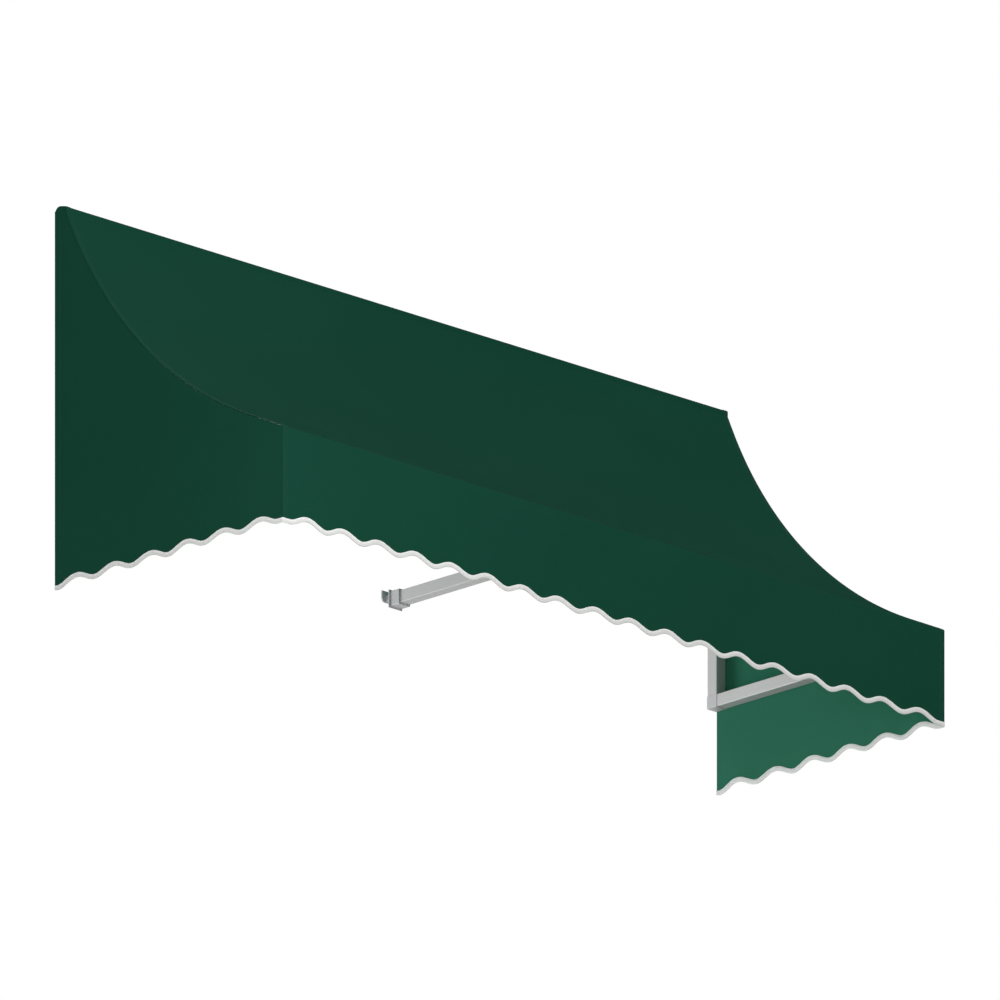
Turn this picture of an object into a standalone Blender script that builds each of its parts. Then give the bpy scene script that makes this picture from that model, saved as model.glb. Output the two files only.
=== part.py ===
"""Fixed window awning: a fabric hood over a frame of square tube, held to the wall at its back.

World frame: +X to the right as seen from the street, +Z up. The wall plane is Y = 0 and the
awning stands out from it towards -Y. The origin is the middle of the header rail's flat back.

Inside the script a point is (x, d, h): x as above, d the distance out from the wall, and h the
height above the canopy's front edge, where the canopy bends down into the valance.
"""

import math

import bmesh
import bpy
import numpy as np

# Overall sizes, in metres
WIDTH = 1.830  # across the outer faces of the two end panels
PROJECTION = 0.622  # from the wall to the outer face of the valance
CROWN_HEIGHT = 0.588  # from the canopy's front edge up to where the back and the crown meet
VALANCE_DROP = 0.198  # from the canopy's front edge down to the lowest point of the trimmed edge

# Canopy line, seen from the side: a straight run, a hollow arc and a second straight run
CANOPY_TOP_SLOPE = math.radians(66)
CANOPY_FRONT_SLOPE = math.radians(25)
CANOPY_RADIUS = 1.000  # at most: the two straight runs limit it
CANOPY_STEPS = 26

# Crown of the canopy, where it wraps over the header rail
NOSE_DEPTH = 0.030
NOSE_HEIGHT = 0.0115
NOSE_FALL = 0.0075
CROWN_RADIUS = 0.0115
CROWN_STEPS = 6

# Fabric, scalloped edge and its folded binding
FABRIC = 0.0012
WAVE_PITCH = 0.0995
WAVE_HEIGHT = 0.0145
WAVE_CORNER_MARGIN = 0.019  # from a front corner to the lowest point next to it
WAVE_STEPS = 8
BINDING_HEIGHT = 0.010
BINDING_LEG = 0.0006
EDGE_ROOM = 0.0012  # from the binding's fold up to the fabric's edge

# Frame of square tube
TUBE = 0.0254
TUBE_WALL = 0.0016
TUBE_CORNER = 0.0015
TUBE_CORNER_STEPS = 2
HEADER_HEIGHT = 0.0515
HEADER_WALL = 0.002
HEADER_BARE_BACK = 0.020  # height of the flat back below the cover's hem
HEADER_LIP_RADIUS = 0.0005
RAFTER_FOOT_SETBACK = 0.010  # from the valance's outer face to the rafters' front ends
RAFTER_OVERRUN = 0.010  # what the rafters' top ends had before they were cut to the header

# Connectors
SPIGOT_LENGTH = 0.030
CORNER_PROUD = 0.0008
PLUG_FLANGE = 0.0012
SOCKET_WALL = 0.0025
SOCKET_LENGTH = 0.024
BRACKET_FLANGE = 0.036
BRACKET_FLANGE_THICKNESS = 0.002
BRACKET_FOOT_WIDTH = 0.027
BRACKET_FOOT_HEIGHT = 0.023
BRACKET_FOOT_THICKNESS = 0.003
BRACKET_FOOT_RISE = 0.010  # the foot's top above the arm's top
BRACKET_FOOT_RADIUS = 0.008
BRACKET_STEM = 0.012

# Angle brackets under the header rail
ANGLE_WIDTH = 0.040
ANGLE_DEPTH = 0.026
ANGLE_DROP = 0.038
ANGLE_THICKNESS = 0.003
ANGLE_BEND = 0.005
ANGLE_INSET = 0.150  # from the frame's side to the middle of the outer brackets

# Screws and holes
SCREW_RADIUS = 0.0020
SCREW_TIP = 0.0015
PAN_HEAD_RADIUS = 0.0040
PAN_HEAD_HEIGHT = 0.0024
FLAT_HEAD_RADIUS = 0.0036
FLAT_HEAD_HEIGHT = 0.0016
TUBE_SCREW_LENGTH = 0.012
HEADER_SCREW_LENGTH = 0.011
SCREW_END_DISTANCE = 0.015  # from a tube's end to the screw that holds its spigot
SCREW_SIDES = 10
WALL_HOLE_RADIUS = 0.00325
WALL_HOLE_SPACING = 0.022
POST_HOLE_FROM_TOP = 0.060
POST_HOLE_FROM_FOOT = 0.160
HOLE_SIDES = 12
ROUND_STEPS = 5

# Gaps
GAP = 0.0003  # between touching pieces
SPIGOT_CLEARANCE = 0.0003
CUT_OVERRUN = 0.010  # how far a cutter runs past what it cuts

# Places that follow from the sizes above
COVER_CLEAR = FABRIC + GAP
CROWN_SLOPE = math.atan2(NOSE_FALL, NOSE_DEPTH)
NOSE_TOP = CROWN_HEIGHT - NOSE_FALL
NOSE_FOOT = NOSE_TOP - NOSE_HEIGHT
FRAME_HALF = WIDTH / 2 - COVER_CLEAR
SIDE_CENTRE = FRAME_HALF - TUBE / 2
RAIL_FRONT = PROJECTION - COVER_CLEAR
RAIL_BACK = RAIL_FRONT - TUBE
RAIL_TOP = -COVER_CLEAR * (1 / math.cos(CANOPY_FRONT_SLOPE) - math.tan(CANOPY_FRONT_SLOPE))
RAIL_FOOT = RAIL_TOP - TUBE
RAIL_MIDDLE = RAIL_TOP - TUBE / 2
HEADER_FRONT = NOSE_DEPTH - COVER_CLEAR
HEADER_TOP = CROWN_HEIGHT - COVER_CLEAR * (1 / math.cos(CROWN_SLOPE) + math.tan(CROWN_SLOPE))
HEADER_FOOT = HEADER_TOP - HEADER_HEIGHT
HEM_FOOT = HEADER_FOOT + HEADER_BARE_BACK + GAP
ORIGIN_HEIGHT = HEADER_FOOT + HEADER_BARE_BACK / 2
POST_TOP = HEADER_FOOT - GAP
POST_FOOT = RAIL_TOP + GAP
BLOCK_FRONT = TUBE + CORNER_PROUD
FLANGE_BACK = TUBE - BRACKET_FLANGE_THICKNESS / 2
FLANGE_FRONT = FLANGE_BACK + BRACKET_FLANGE_THICKNESS
SPIGOT = TUBE - 2 * TUBE_WALL - 2 * SPIGOT_CLEARANCE
PLUG_DEPTH = TUBE / 2 - FLAT_HEAD_RADIUS - PLUG_FLANGE - 4 * GAP  # the room beside a rail bolt

# Finishes: colour, roughness, metallic
FINISHES = {
    "fabric": ((0.010, 0.052, 0.032), 0.85, 0.0),
    "trim": ((0.800, 0.810, 0.800), 0.80, 0.0),
    "tube": ((0.480, 0.480, 0.480), 0.40, 0.9),
    "casting": ((0.420, 0.420, 0.430), 0.50, 0.9),
    "plastic": ((0.300, 0.310, 0.310), 0.50, 0.0),
    "screw": ((0.600, 0.600, 0.600), 0.30, 1.0),
}


def clear_scene():
    for obj in list(bpy.data.objects):
        bpy.data.objects.remove(obj, do_unlink=True)


def world(point):
    x, d, h = point
    return (x, -d, h - ORIGIN_HEIGHT)


def along_x(a, b, t):
    """Outline (d, h), run along x."""
    return (t, a, b)


def along_d(a, b, t):
    """Outline (x, h), run along d."""
    return (a, t, b)


def along_h(a, b, t):
    """Outline (x, d), run along h."""
    return (a, b, t)


def finish_material(name, finish):
    colour, roughness, metallic = FINISHES[finish]
    material = bpy.data.materials.new(name)
    material.use_nodes = True
    shader = material.node_tree.nodes["Principled BSDF"]
    shader.inputs["Base Color"].default_value = (*colour, 1.0)
    shader.inputs["Roughness"].default_value = roughness
    shader.inputs["Metallic"].default_value = metallic
    return material


def new_object(name, points, faces, finish, open_ends=()):
    """One object from (x, d, h) points, with its own origin in its middle and its faces outward.

    Each of open_ends is the set of points round one end that is still to be closed.
    """
    places = np.array([world(point) for point in points])
    middle = (places.min(axis=0) + places.max(axis=0)) / 2
    mesh = bpy.data.meshes.new(name)
    mesh.from_pydata((places - middle).tolist(), [], faces)
    form = bmesh.new()
    form.from_mesh(mesh)
    for end in open_ends:
        rim = [edge for edge in form.edges if all(vert.index in end for vert in edge.verts)]
        bmesh.ops.triangle_fill(form, edges=rim, use_beauty=True)
    bmesh.ops.recalc_face_normals(form, faces=form.faces)
    form.to_mesh(mesh)
    form.free()
    obj = bpy.data.objects.new(name, mesh)
    obj.location = middle
    bpy.context.scene.collection.objects.link(obj)
    if finish:
        mesh.materials.append(finish_material(name, finish))
        obj.parent = bpy.data.objects["awning"]
    else:
        obj.hide_render = True
        obj.display_type = "WIRE"
    return obj


def shade_round(obj):
    obj.data.shade_smooth()
    obj.data.set_sharp_from_angle(angle=math.radians(35))


def boolean(obj, other, operation):
    modifier = obj.modifiers.new(other.name, "BOOLEAN")
    modifier.operation = operation
    modifier.solver = "EXACT"
    modifier.object = other


def rounded(corners, steps):
    """A closed outline of (a, b) points from corners (a, b, radius): an arc stands in for each corner."""
    outline = []
    for i, (a, b, radius) in enumerate(corners):
        here = np.array([a, b])
        if radius == 0:
            outline.append(here)
            continue
        before = np.array(corners[i - 1][:2]) - here
        after = np.array(corners[(i + 1) % len(corners)][:2]) - here
        before /= np.linalg.norm(before)
        after /= np.linalg.norm(after)
        half = math.acos(np.clip(before @ after, -1, 1)) / 2
        bisector = (before + after) / np.linalg.norm(before + after)
        centre = here + bisector * radius / math.sin(half)
        start = here + before * radius / math.tan(half) - centre
        turn = math.pi - 2 * half
        across = here + after * radius / math.tan(half) - centre
        for k in range(steps + 1):
            share = k / steps * turn
            arc = math.sin(turn - share) * start + math.sin(share) * across
            outline.append(centre + arc / math.sin(turn))
    return outline


def square(centre_a, centre_b, size, corner=0.0):
    half = size / 2
    return rectangle(centre_a - half, centre_a + half, centre_b - half, centre_b + half, corner)


def rectangle(low_a, high_a, low_b, high_b, corner=0.0):
    corners = [(low_a, low_b), (high_a, low_b), (high_a, high_b), (low_a, high_b)]
    return rounded([(a, b, corner) for a, b in corners], TUBE_CORNER_STEPS)


def circle(centre_a, centre_b, radius, sides=HOLE_SIDES):
    turn = np.arange(sides) * 2 * math.pi / sides
    return np.column_stack([centre_a + radius * np.cos(turn), centre_b + radius * np.sin(turn)])


def prism(name, loops, place, start, end, finish):
    """Runs closed outlines from start to end. A second outline inside the first is a bore."""
    points, faces, ends = [], [], (set(), set())
    for loop in loops:
        first, count = len(points), len(loop)
        points += [place(a, b, start) for a, b in loop] + [place(a, b, end) for a, b in loop]
        for i in range(count):
            j = (i + 1) % count
            faces.append((first + i, first + j, first + count + j, first + count + i))
        ends[0].update(range(first, first + count))
        ends[1].update(range(first + count, first + 2 * count))
    if len(loops) == 1:
        faces += [tuple(sorted(end)) for end in ends]
        ends = ()
    return new_object(name, points, faces, finish, ends)


def tube(name, centre_a, centre_b, place, start, end):
    outer = square(centre_a, centre_b, TUBE, TUBE_CORNER)
    inner = square(centre_a, centre_b, TUBE - 2 * TUBE_WALL)
    return prism(name, [outer, inner], place, start, end, "tube")


def box_cutter(name, x, d, h):
    """A helper box from (low, high) pairs."""
    return prism(name, [rectangle(*x, *d)], along_h, *h, None)


def turned(name, profile, place, centre_a, centre_b, seat, way, finish):
    """A turned solid: profile is (radius, distance from the seat), way is +1 or -1 along its axis."""
    points, faces = [], []
    turn = np.arange(SCREW_SIDES) * 2 * math.pi / SCREW_SIDES
    for radius, along in profile:
        for angle in turn:
            a = centre_a + radius * math.cos(angle)
            b = centre_b + radius * math.sin(angle)
            points.append(place(a, b, seat + way * along))
    for ring in range(len(profile) - 1):
        for i in range(SCREW_SIDES):
            j = (i + 1) % SCREW_SIDES
            low, high = ring * SCREW_SIDES, (ring + 1) * SCREW_SIDES
            faces.append((low + i, low + j, high + j, high + i))
    faces.append(tuple(range(SCREW_SIDES)))
    faces.append(tuple(range(len(points) - SCREW_SIDES, len(points))))
    return new_object(name, points, faces, finish)


def pan_screw(name, place, a, b, seat, way, length, holds):
    """A pan head screw. seat is the face its head bears on, way points along the shank."""
    head, shank = PAN_HEAD_RADIUS, SCREW_RADIUS
    top = -PAN_HEAD_HEIGHT - GAP
    profile = [(head * 0.45, top), (head * 0.85, top * 0.72), (head, top * 0.35), (head, -GAP)]
    profile += [(shank, -GAP), (shank, length - SCREW_TIP), (shank * 0.3, length)]
    shade_round(turned(name, profile, place, a, b, seat, way, "screw"))
    bore = [(shank + GAP, -CUT_OVERRUN), (shank + GAP, length + GAP)]
    cutter = turned(name + "_bore", bore, place, a, b, seat, way, None)
    for piece in holds:
        boolean(piece, cutter, "DIFFERENCE")


def flat_screw(name, place, a, b, seat, way, length, holds):
    """A countersunk screw, its head flush with the face at seat."""
    head, deep, shank = FLAT_HEAD_RADIUS, FLAT_HEAD_HEIGHT, SCREW_RADIUS
    profile = [(head, 0), (shank, deep), (shank, length - SCREW_TIP), (shank * 0.3, length)]
    shade_round(turned(name, profile, place, a, b, seat, way, "screw"))
    bore = [(head + deep + GAP, -deep), (shank + GAP, deep), (shank + GAP, length + GAP)]
    cutter = turned(name + "_bore", bore, place, a, b, seat, way, None)
    for piece in holds:
        boolean(piece, cutter, "DIFFERENCE")


def canopy_line():
    """The canopy's outer line from the nose down to its front edge, as (d, h) points."""
    start = np.array([NOSE_DEPTH, NOSE_FOOT])
    end = np.array([PROJECTION, 0.0])
    down = np.array([math.cos(CANOPY_TOP_SLOPE), -math.sin(CANOPY_TOP_SLOPE)])
    back = np.array([-math.cos(CANOPY_FRONT_SLOPE), math.sin(CANOPY_FRONT_SLOPE)])
    lengths = np.linalg.solve(np.column_stack([down, -back]), end - start)
    half_turn = (CANOPY_TOP_SLOPE - CANOPY_FRONT_SLOPE) / 2
    radius = min(CANOPY_RADIUS, 0.98 * lengths.min() / math.tan(half_turn))
    corner = start + down * lengths[0]
    arc_start = corner - down * radius * math.tan(half_turn)
    slopes = np.linspace(CANOPY_TOP_SLOPE, CANOPY_FRONT_SLOPE, CANOPY_STEPS + 1)
    arc_d = arc_start[0] + radius * (math.sin(CANOPY_TOP_SLOPE) - np.sin(slopes))
    arc_h = arc_start[1] + radius * (math.cos(CANOPY_TOP_SLOPE) - np.cos(slopes))
    return np.vstack([start, np.column_stack([arc_d, arc_h]), end])


def crown_line():
    """The cover's outer line from its hem behind the header, over the crown, to the nose's top."""
    corners = [(0, HEM_FOOT, 0), (0, CROWN_HEIGHT, CROWN_RADIUS), (NOSE_DEPTH, NOSE_TOP, 0)]
    return np.array(rounded(corners, CROWN_STEPS))


def cover_line():
    return np.vstack([crown_line(), canopy_line()])


def inset(line, distance, end_direction):
    """The open line moved to its inner side, with mitred corners; end_direction is where it goes on."""
    steps = np.vstack([np.diff(line, axis=0), end_direction])
    steps /= np.linalg.norm(steps, axis=1)[:, None]
    normals = np.column_stack([steps[:, 1], -steps[:, 0]])
    before = np.vstack([normals[0], normals[:-1]])
    mitre = (before + normals) / (1 + (before * normals).sum(axis=1))[:, None]
    return line + mitre * distance


def scallop_pitch(run):
    """The pitch near WAVE_PITCH that fits a whole number of waves into a run between two low points."""
    return run / max(1, round(run / WAVE_PITCH))


def edge_height(from_low, pitch):
    """Height of the trimmed edge: lowest at a low point, and WAVE_HEIGHT above it half a pitch away."""
    return -VALANCE_DROP + WAVE_HEIGHT / 2 * (1 - np.cos(2 * math.pi * from_low / pitch))


def front_edge():
    """Stations across the valance, (x, h of the trimmed edge), from corner to corner."""
    run = WIDTH - 2 * WAVE_CORNER_MARGIN
    pitch = scallop_pitch(run)
    count = round(WIDTH / pitch * WAVE_STEPS)
    x = np.linspace(-WIDTH / 2, WIDTH / 2, count + 1)
    return np.column_stack([x, edge_height(x - WIDTH / 2 + WAVE_CORNER_MARGIN, pitch)])


def side_edge():
    """Stations along an end panel, (d, h of the trimmed edge), from the wall to the front corner."""
    pitch = scallop_pitch(WIDTH - 2 * WAVE_CORNER_MARGIN)
    count = round(PROJECTION / pitch * WAVE_STEPS)
    d = np.linspace(0, PROJECTION, count + 1)
    return np.column_stack([d, edge_height(PROJECTION - WAVE_CORNER_MARGIN - d, pitch)])


def build_cover():
    """Top sheet and valance in one piece of fabric, with its hem behind the header."""
    outer = cover_line()
    inner = inset(outer, FABRIC, (0, -1))
    half = WIDTH / 2 - COVER_CLEAR
    rows = len(outer)
    points = [(x, d, h) for x in (-half, half) for d, h in np.vstack([outer, inner])]
    faces = []
    for side in (0, 2 * rows):
        for j in range(rows - 1):
            faces.append((side + j, side + j + 1, side + rows + j + 1, side + rows + j))
    for j in range(rows - 1):
        for skin in (0, rows):
            low, high = skin + j, skin + j + 2 * rows
            faces.append((low, low + 1, high + 1, high))
    faces.append((0, rows, 3 * rows, 2 * rows))
    stations = front_edge()
    x = np.concatenate([[-half], stations[np.abs(stations[:, 0]) < half, 0], [half]])
    h = np.interp(x, *stations.T) + BINDING_LEG + EDGE_ROOM
    first, count = len(points), len(x)
    for d in (PROJECTION, PROJECTION - FABRIC):
        points += list(zip(x, np.full(count, d), h))
    for k in range(count - 1):
        faces.append((first + k, first + k + 1, first + count + k + 1, first + count + k))
    for skin, edge in ((rows - 1, first), (2 * rows - 1, first + count)):
        faces.append((skin, skin + 2 * rows, *range(edge + count - 1, edge - 1, -1)))
    faces.append((rows - 1, 2 * rows - 1, first + count, first))
    faces.append((3 * rows - 1, 4 * rows - 1, first + 2 * count - 1, first + count - 1))
    shade_round(new_object("cover", points, faces, "fabric"))


def build_end_panel(name, side):
    """A flat fabric end, from the canopy line down to the trimmed edge, side is -1 or +1."""
    edge = side_edge() + (0, BINDING_LEG + EDGE_ROOM)
    outline = np.vstack([crown_line()[1:], canopy_line(), edge[::-1]])
    outer = side * WIDTH / 2
    prism(name, [outline], along_x, outer, outer - side * FABRIC, "fabric")


def build_binding():
    """The folded tape round the trimmed edge of both end panels and the valance, one piece.

    Its section is a U that the fabric's edge stands in, and it turns the two front corners.
    """
    leg, room = BINDING_LEG, GAP
    low_in, high = leg, BINDING_HEIGHT
    section = [(room + leg, high), (room + leg, 0), (-FABRIC - room - leg, 0)]
    section += [(-FABRIC - room - leg, high), (-FABRIC - room, high), (-FABRIC - room, low_in)]
    section += [(room, low_in), (room, high)]
    side, front = side_edge(), front_edge()
    rings = []
    for d, h in side[:-1]:
        rings.append([(-WIDTH / 2 - out, d, h + up) for out, up in section])
    h = front[0, 1]
    rings.append([(-WIDTH / 2 - out, PROJECTION + out, h + up) for out, up in section])
    for x, h in front[1:-1]:
        rings.append([(x, PROJECTION + out, h + up) for out, up in section])
    mirrored = [[(-x, d, h) for x, d, h in ring] for ring in reversed(rings[: len(side)])]
    rings += mirrored
    count = len(section)
    faces = []
    for i in range(len(rings) - 1):
        for k in range(count):
            j = (k + 1) % count
            faces.append((i * count + k, i * count + j, (i + 1) * count + j, (i + 1) * count + k))
    faces.append(tuple(range(count)))
    faces.append(tuple(range((len(rings) - 1) * count, len(rings) * count)))
    shade_round(new_object("edge_binding", sum(rings, []), faces, "trim"))


def header_outlines():
    """(outer outline, bore) of the header rail, whose crown follows the cover's."""
    fall = math.tan(CROWN_SLOPE)
    wall = HEADER_WALL
    back, front = COVER_CLEAR, HEADER_FRONT
    step = HEM_FOOT - GAP
    front_top = HEADER_TOP - (front - back) * fall
    outer = [(0, HEADER_FOOT, 0), (front, HEADER_FOOT, 0), (front, front_top, HEADER_LIP_RADIUS)]
    outer += [(back, HEADER_TOP, CROWN_RADIUS - COVER_CLEAR), (back, step, 0), (0, step, 0)]
    low = HEADER_FOOT + wall
    top = HEADER_TOP - wall / math.cos(CROWN_SLOPE)
    left, right = back + wall, front - wall
    bore = [(left, low, 0), (right, low, 0), (right, top - (right - back) * fall, 0)]
    bore += [(left, top - wall * fall, CROWN_RADIUS - COVER_CLEAR - wall)]
    return rounded(outer, CROWN_STEPS), rounded(bore, CROWN_STEPS)


def build_header():
    half = FRAME_HALF - PLUG_FLANGE - GAP
    outer, bore = header_outlines()
    header = prism("header_rail", [outer, bore], along_x, -half, half, "tube")
    shade_round(header)
    for name, side in (("header_plug_left", -1), ("header_plug_right", 1)):
        flange = prism(name, [outer], along_x, side * (half + GAP), side * FRAME_HALF, "plastic")
        core = header_plug_core(name + "_core", side, half, bore)
        boolean(flange, core, "UNION")
    return header


def header_plug_core(name, side, half, bore):
    """The part of an end plug that stands in the header's bore."""
    points = np.array(bore)
    middle = (points.min(axis=0) + points.max(axis=0)) / 2
    reach = (points.max(axis=0) - points.min(axis=0)) / 2
    core = middle + (points - middle) * (1 - 2 * SPIGOT_CLEARANCE / reach)
    ends = (side * (half - PLUG_DEPTH), side * (FRAME_HALF - PLUG_FLANGE / 2))
    return prism(name, [core], along_x, *ends, None)


def build_rail():
    half = FRAME_HALF - PLUG_FLANGE - GAP
    middle_d = (RAIL_FRONT + RAIL_BACK) / 2
    rail = tube("front_rail", middle_d, RAIL_MIDDLE, along_x, -half, half)
    for name, side in (("rail_plug_left", -1), ("rail_plug_right", 1)):
        outline = square(middle_d, RAIL_MIDDLE, TUBE, TUBE_CORNER)
        plug = prism(name, [outline], along_x, side * (half + GAP), side * FRAME_HALF, "plastic")
        core = prism(
            name + "_core",
            [square(middle_d, RAIL_MIDDLE, SPIGOT)],
            along_x,
            side * (half - PLUG_DEPTH),
            side * (FRAME_HALF - PLUG_FLANGE / 2),
            None,
        )
        boolean(plug, core, "UNION")
    return rail


def build_rafter(name, x, cutters):
    """A bent tube under the cover, from the header's front face down to the top of its arm."""
    line = canopy_line()
    over = (line[0] - line[1]) / np.linalg.norm(line[0] - line[1]) * RAFTER_OVERRUN
    line[0] += over
    line[-1] += (line[-2] - line[-1]) / np.linalg.norm(line[-2] - line[-1]) * RAFTER_FOOT_SETBACK
    end_way = line[-1] - line[-2]
    outer_loop = rectangle(-TUBE / 2, TUBE / 2, COVER_CLEAR, COVER_CLEAR + TUBE, TUBE_CORNER)
    bore_inset = COVER_CLEAR + TUBE_WALL
    bore_half = TUBE / 2 - TUBE_WALL
    bore_loop = rectangle(-bore_half, bore_half, bore_inset, COVER_CLEAR + TUBE - TUBE_WALL)
    points, faces, ends = [], [], (set(), set())
    for loop in (outer_loop, bore_loop):
        first, count = len(points), len(loop)
        lines = [inset(line, depth, end_way) for _, depth in loop]
        for station in range(len(line)):
            points += [(x + loop[k][0], *lines[k][station]) for k in range(count)]
        for station in range(len(line) - 1):
            low, high = first + station * count, first + (station + 1) * count
            for k in range(count):
                j = (k + 1) % count
                faces.append((low + k, low + j, high + j, high + k))
        ends[0].update(range(first, first + count))
        ends[1].update(range(len(points) - count, len(points)))
    rafter = new_object(name, points, faces, "tube", ends)
    for cutter in cutters:
        boolean(rafter, cutter, "DIFFERENCE")
    shade_round(rafter)
    return rafter


def rafter_cutters():
    """What the rafters' ends are cut to: the header's front face and the top of the arms."""
    across = (-FRAME_HALF - CUT_OVERRUN, FRAME_HALF + CUT_OVERRUN)
    top = (0, CROWN_HEIGHT)
    behind = box_cutter("cut_to_header", across, (-TUBE * 2, HEADER_FRONT + GAP), top)
    forward = (PROJECTION / 3, PROJECTION + CUT_OVERRUN)
    below = box_cutter("cut_to_arm", across, forward, (-VALANCE_DROP, POST_FOOT))
    return [behind, below]


def build_post(name, x):
    post = tube(name, x, TUBE / 2, along_h, POST_FOOT, POST_TOP)
    for number, h in enumerate((POST_TOP - POST_HOLE_FROM_TOP, POST_FOOT + POST_HOLE_FROM_FOOT)):
        hole = circle(x, h, WALL_HOLE_RADIUS)
        cutter = prism(
            f"{name}_hole_{number}", [hole], along_d, -CUT_OVERRUN, TUBE + CUT_OVERRUN, None
        )
        boolean(post, cutter, "DIFFERENCE")
    return post


def build_corner_block(name, x, side):
    """The cast block at the foot of an end post, with a spigot up into it and one into the arm."""
    inner = x - side * (TUBE / 2 + CORNER_PROUD)
    outer = x + side * TUBE / 2
    across = (min(inner, outer), max(inner, outer))
    outline = rectangle(*across, RAIL_FOOT - CORNER_PROUD, RAIL_TOP, TUBE_CORNER / 2)
    block = prism(name, [outline], along_d, 0, BLOCK_FRONT, "casting")
    up = prism(
        name + "_upright",
        [square(x, TUBE / 2, SPIGOT)],
        along_h,
        RAIL_MIDDLE,
        POST_FOOT + SPIGOT_LENGTH,
        None,
    )
    out = prism(
        name + "_outrigger",
        [square(x, RAIL_MIDDLE, SPIGOT)],
        along_d,
        TUBE / 2,
        BLOCK_FRONT + GAP + SPIGOT_LENGTH,
        None,
    )
    boolean(block, up, "UNION")
    boolean(block, out, "UNION")
    return block


def build_arm(name, x, start):
    return tube(name, x, RAIL_MIDDLE, along_d, start, RAIL_BACK - GAP)


def build_rail_spigot(name, x):
    """The plug in an arm's front end, which a bolt draws to the back of the front rail."""
    front = RAIL_BACK - GAP
    outline = square(x, RAIL_MIDDLE, SPIGOT)
    return prism(name, [outline], along_d, front - SPIGOT_LENGTH, front, "casting")


def build_centre_bracket():
    """The cast wall bracket of the centre arm: rounded foot, stem, square flange and socket."""
    top = RAIL_TOP + BRACKET_FOOT_RISE
    half = BRACKET_FOOT_WIDTH / 2
    low = top - BRACKET_FOOT_HEIGHT
    round_low = BRACKET_FOOT_RADIUS
    corners = [(-half, low, round_low), (half, low, round_low), (half, top, 0), (-half, top, 0)]
    foot = prism(
        "centre_bracket",
        [rounded(corners, ROUND_STEPS)],
        along_d,
        0,
        BRACKET_FOOT_THICKNESS,
        "casting",
    )
    stem = BRACKET_STEM
    middle = RAIL_TOP - stem / 2
    shapes = [
        (square(0, middle, stem), BRACKET_FOOT_THICKNESS / 2, FLANGE_BACK + GAP),
        (square(0, RAIL_MIDDLE, BRACKET_FLANGE), FLANGE_BACK, FLANGE_FRONT),
        (
            square(0, RAIL_MIDDLE, TUBE + 2 * GAP + 2 * SOCKET_WALL, TUBE_CORNER),
            (FLANGE_BACK + FLANGE_FRONT) / 2,
            FLANGE_FRONT + SOCKET_LENGTH,
        ),
    ]
    for number, (outline, start, end) in enumerate(shapes):
        boolean(foot, prism(f"bracket_shape_{number}", [outline], along_d, start, end, None), "UNION")
    pocket = prism(
        "bracket_pocket",
        [square(0, RAIL_MIDDLE, TUBE + 2 * GAP)],
        along_d,
        FLANGE_FRONT,
        FLANGE_FRONT + SOCKET_LENGTH + CUT_OVERRUN,
        None,
    )
    boolean(foot, pocket, "DIFFERENCE")
    return foot


def build_header_angle(name, x):
    """A bent angle under the header: one leg on the wall, one under the rail."""
    top = HEADER_FOOT - GAP
    thick = ANGLE_THICKNESS
    corners = [(0, top - ANGLE_DROP, 0), (thick, top - ANGLE_DROP, 0)]
    corners += [(thick, top - thick, ANGLE_BEND - thick), (ANGLE_DEPTH, top - thick, 0)]
    corners += [(ANGLE_DEPTH, top, 0), (0, top, ANGLE_BEND)]
    ends = (x - ANGLE_WIDTH / 2, x + ANGLE_WIDTH / 2)
    angle = prism(name, [rounded(corners, ROUND_STEPS)], along_x, *ends, "casting")
    for number, side in enumerate((-1, 1)):
        hole_h = (top + top - ANGLE_DROP - ANGLE_BEND) / 2
        hole = circle(x + side * WALL_HOLE_SPACING / 2, hole_h, WALL_HOLE_RADIUS)
        reach = (-CUT_OVERRUN, thick + CUT_OVERRUN / 2)
        cutter = prism(f"{name}_hole_{number}", [hole], along_d, *reach, None)
        boolean(angle, cutter, "DIFFERENCE")
    shade_round(angle)
    return angle


def build_end_frame(side_name, side, rail, cutters):
    """Post, corner block, arm, rafter and their screws at one end of the awning."""
    x = side * SIDE_CENTRE
    post = build_post(f"post_{side_name}", x)
    block = build_corner_block(f"corner_block_{side_name}", x, side)
    arm = build_arm(f"arm_{side_name}", x, BLOCK_FRONT + GAP)
    build_rafter(f"rafter_{side_name}", x, cutters)
    post_screw_h = POST_FOOT + SCREW_END_DISTANCE
    flat_screw(
        f"post_screw_{side_name}",
        along_x,
        TUBE / 2,
        post_screw_h,
        side * FRAME_HALF,
        -side,
        TUBE_SCREW_LENGTH,
        [post, block],
    )
    arm_screw_d = BLOCK_FRONT + GAP + SCREW_END_DISTANCE
    pan_screw(
        f"arm_screw_{side_name}",
        along_h,
        x,
        arm_screw_d,
        RAIL_TOP,
        -1,
        TUBE_SCREW_LENGTH,
        [arm, block],
    )
    join_arm_to_rail(side_name, x, -side, arm, rail)


def build_centre_frame(rail, cutters):
    """Bracket, arm, rafter and their screws in the middle of the awning."""
    bracket = build_centre_bracket()
    arm = build_arm("arm_centre", 0, FLANGE_FRONT + GAP)
    build_rafter("rafter_centre", 0, cutters)
    seat = RAIL_TOP + GAP + SOCKET_WALL
    middle = FLANGE_FRONT + SOCKET_LENGTH / 2
    pan_screw(
        "arm_screw_centre", along_h, 0, middle, seat, -1, TUBE_SCREW_LENGTH, [bracket, arm]
    )
    join_arm_to_rail("centre", 0, 1, arm, rail)


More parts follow.
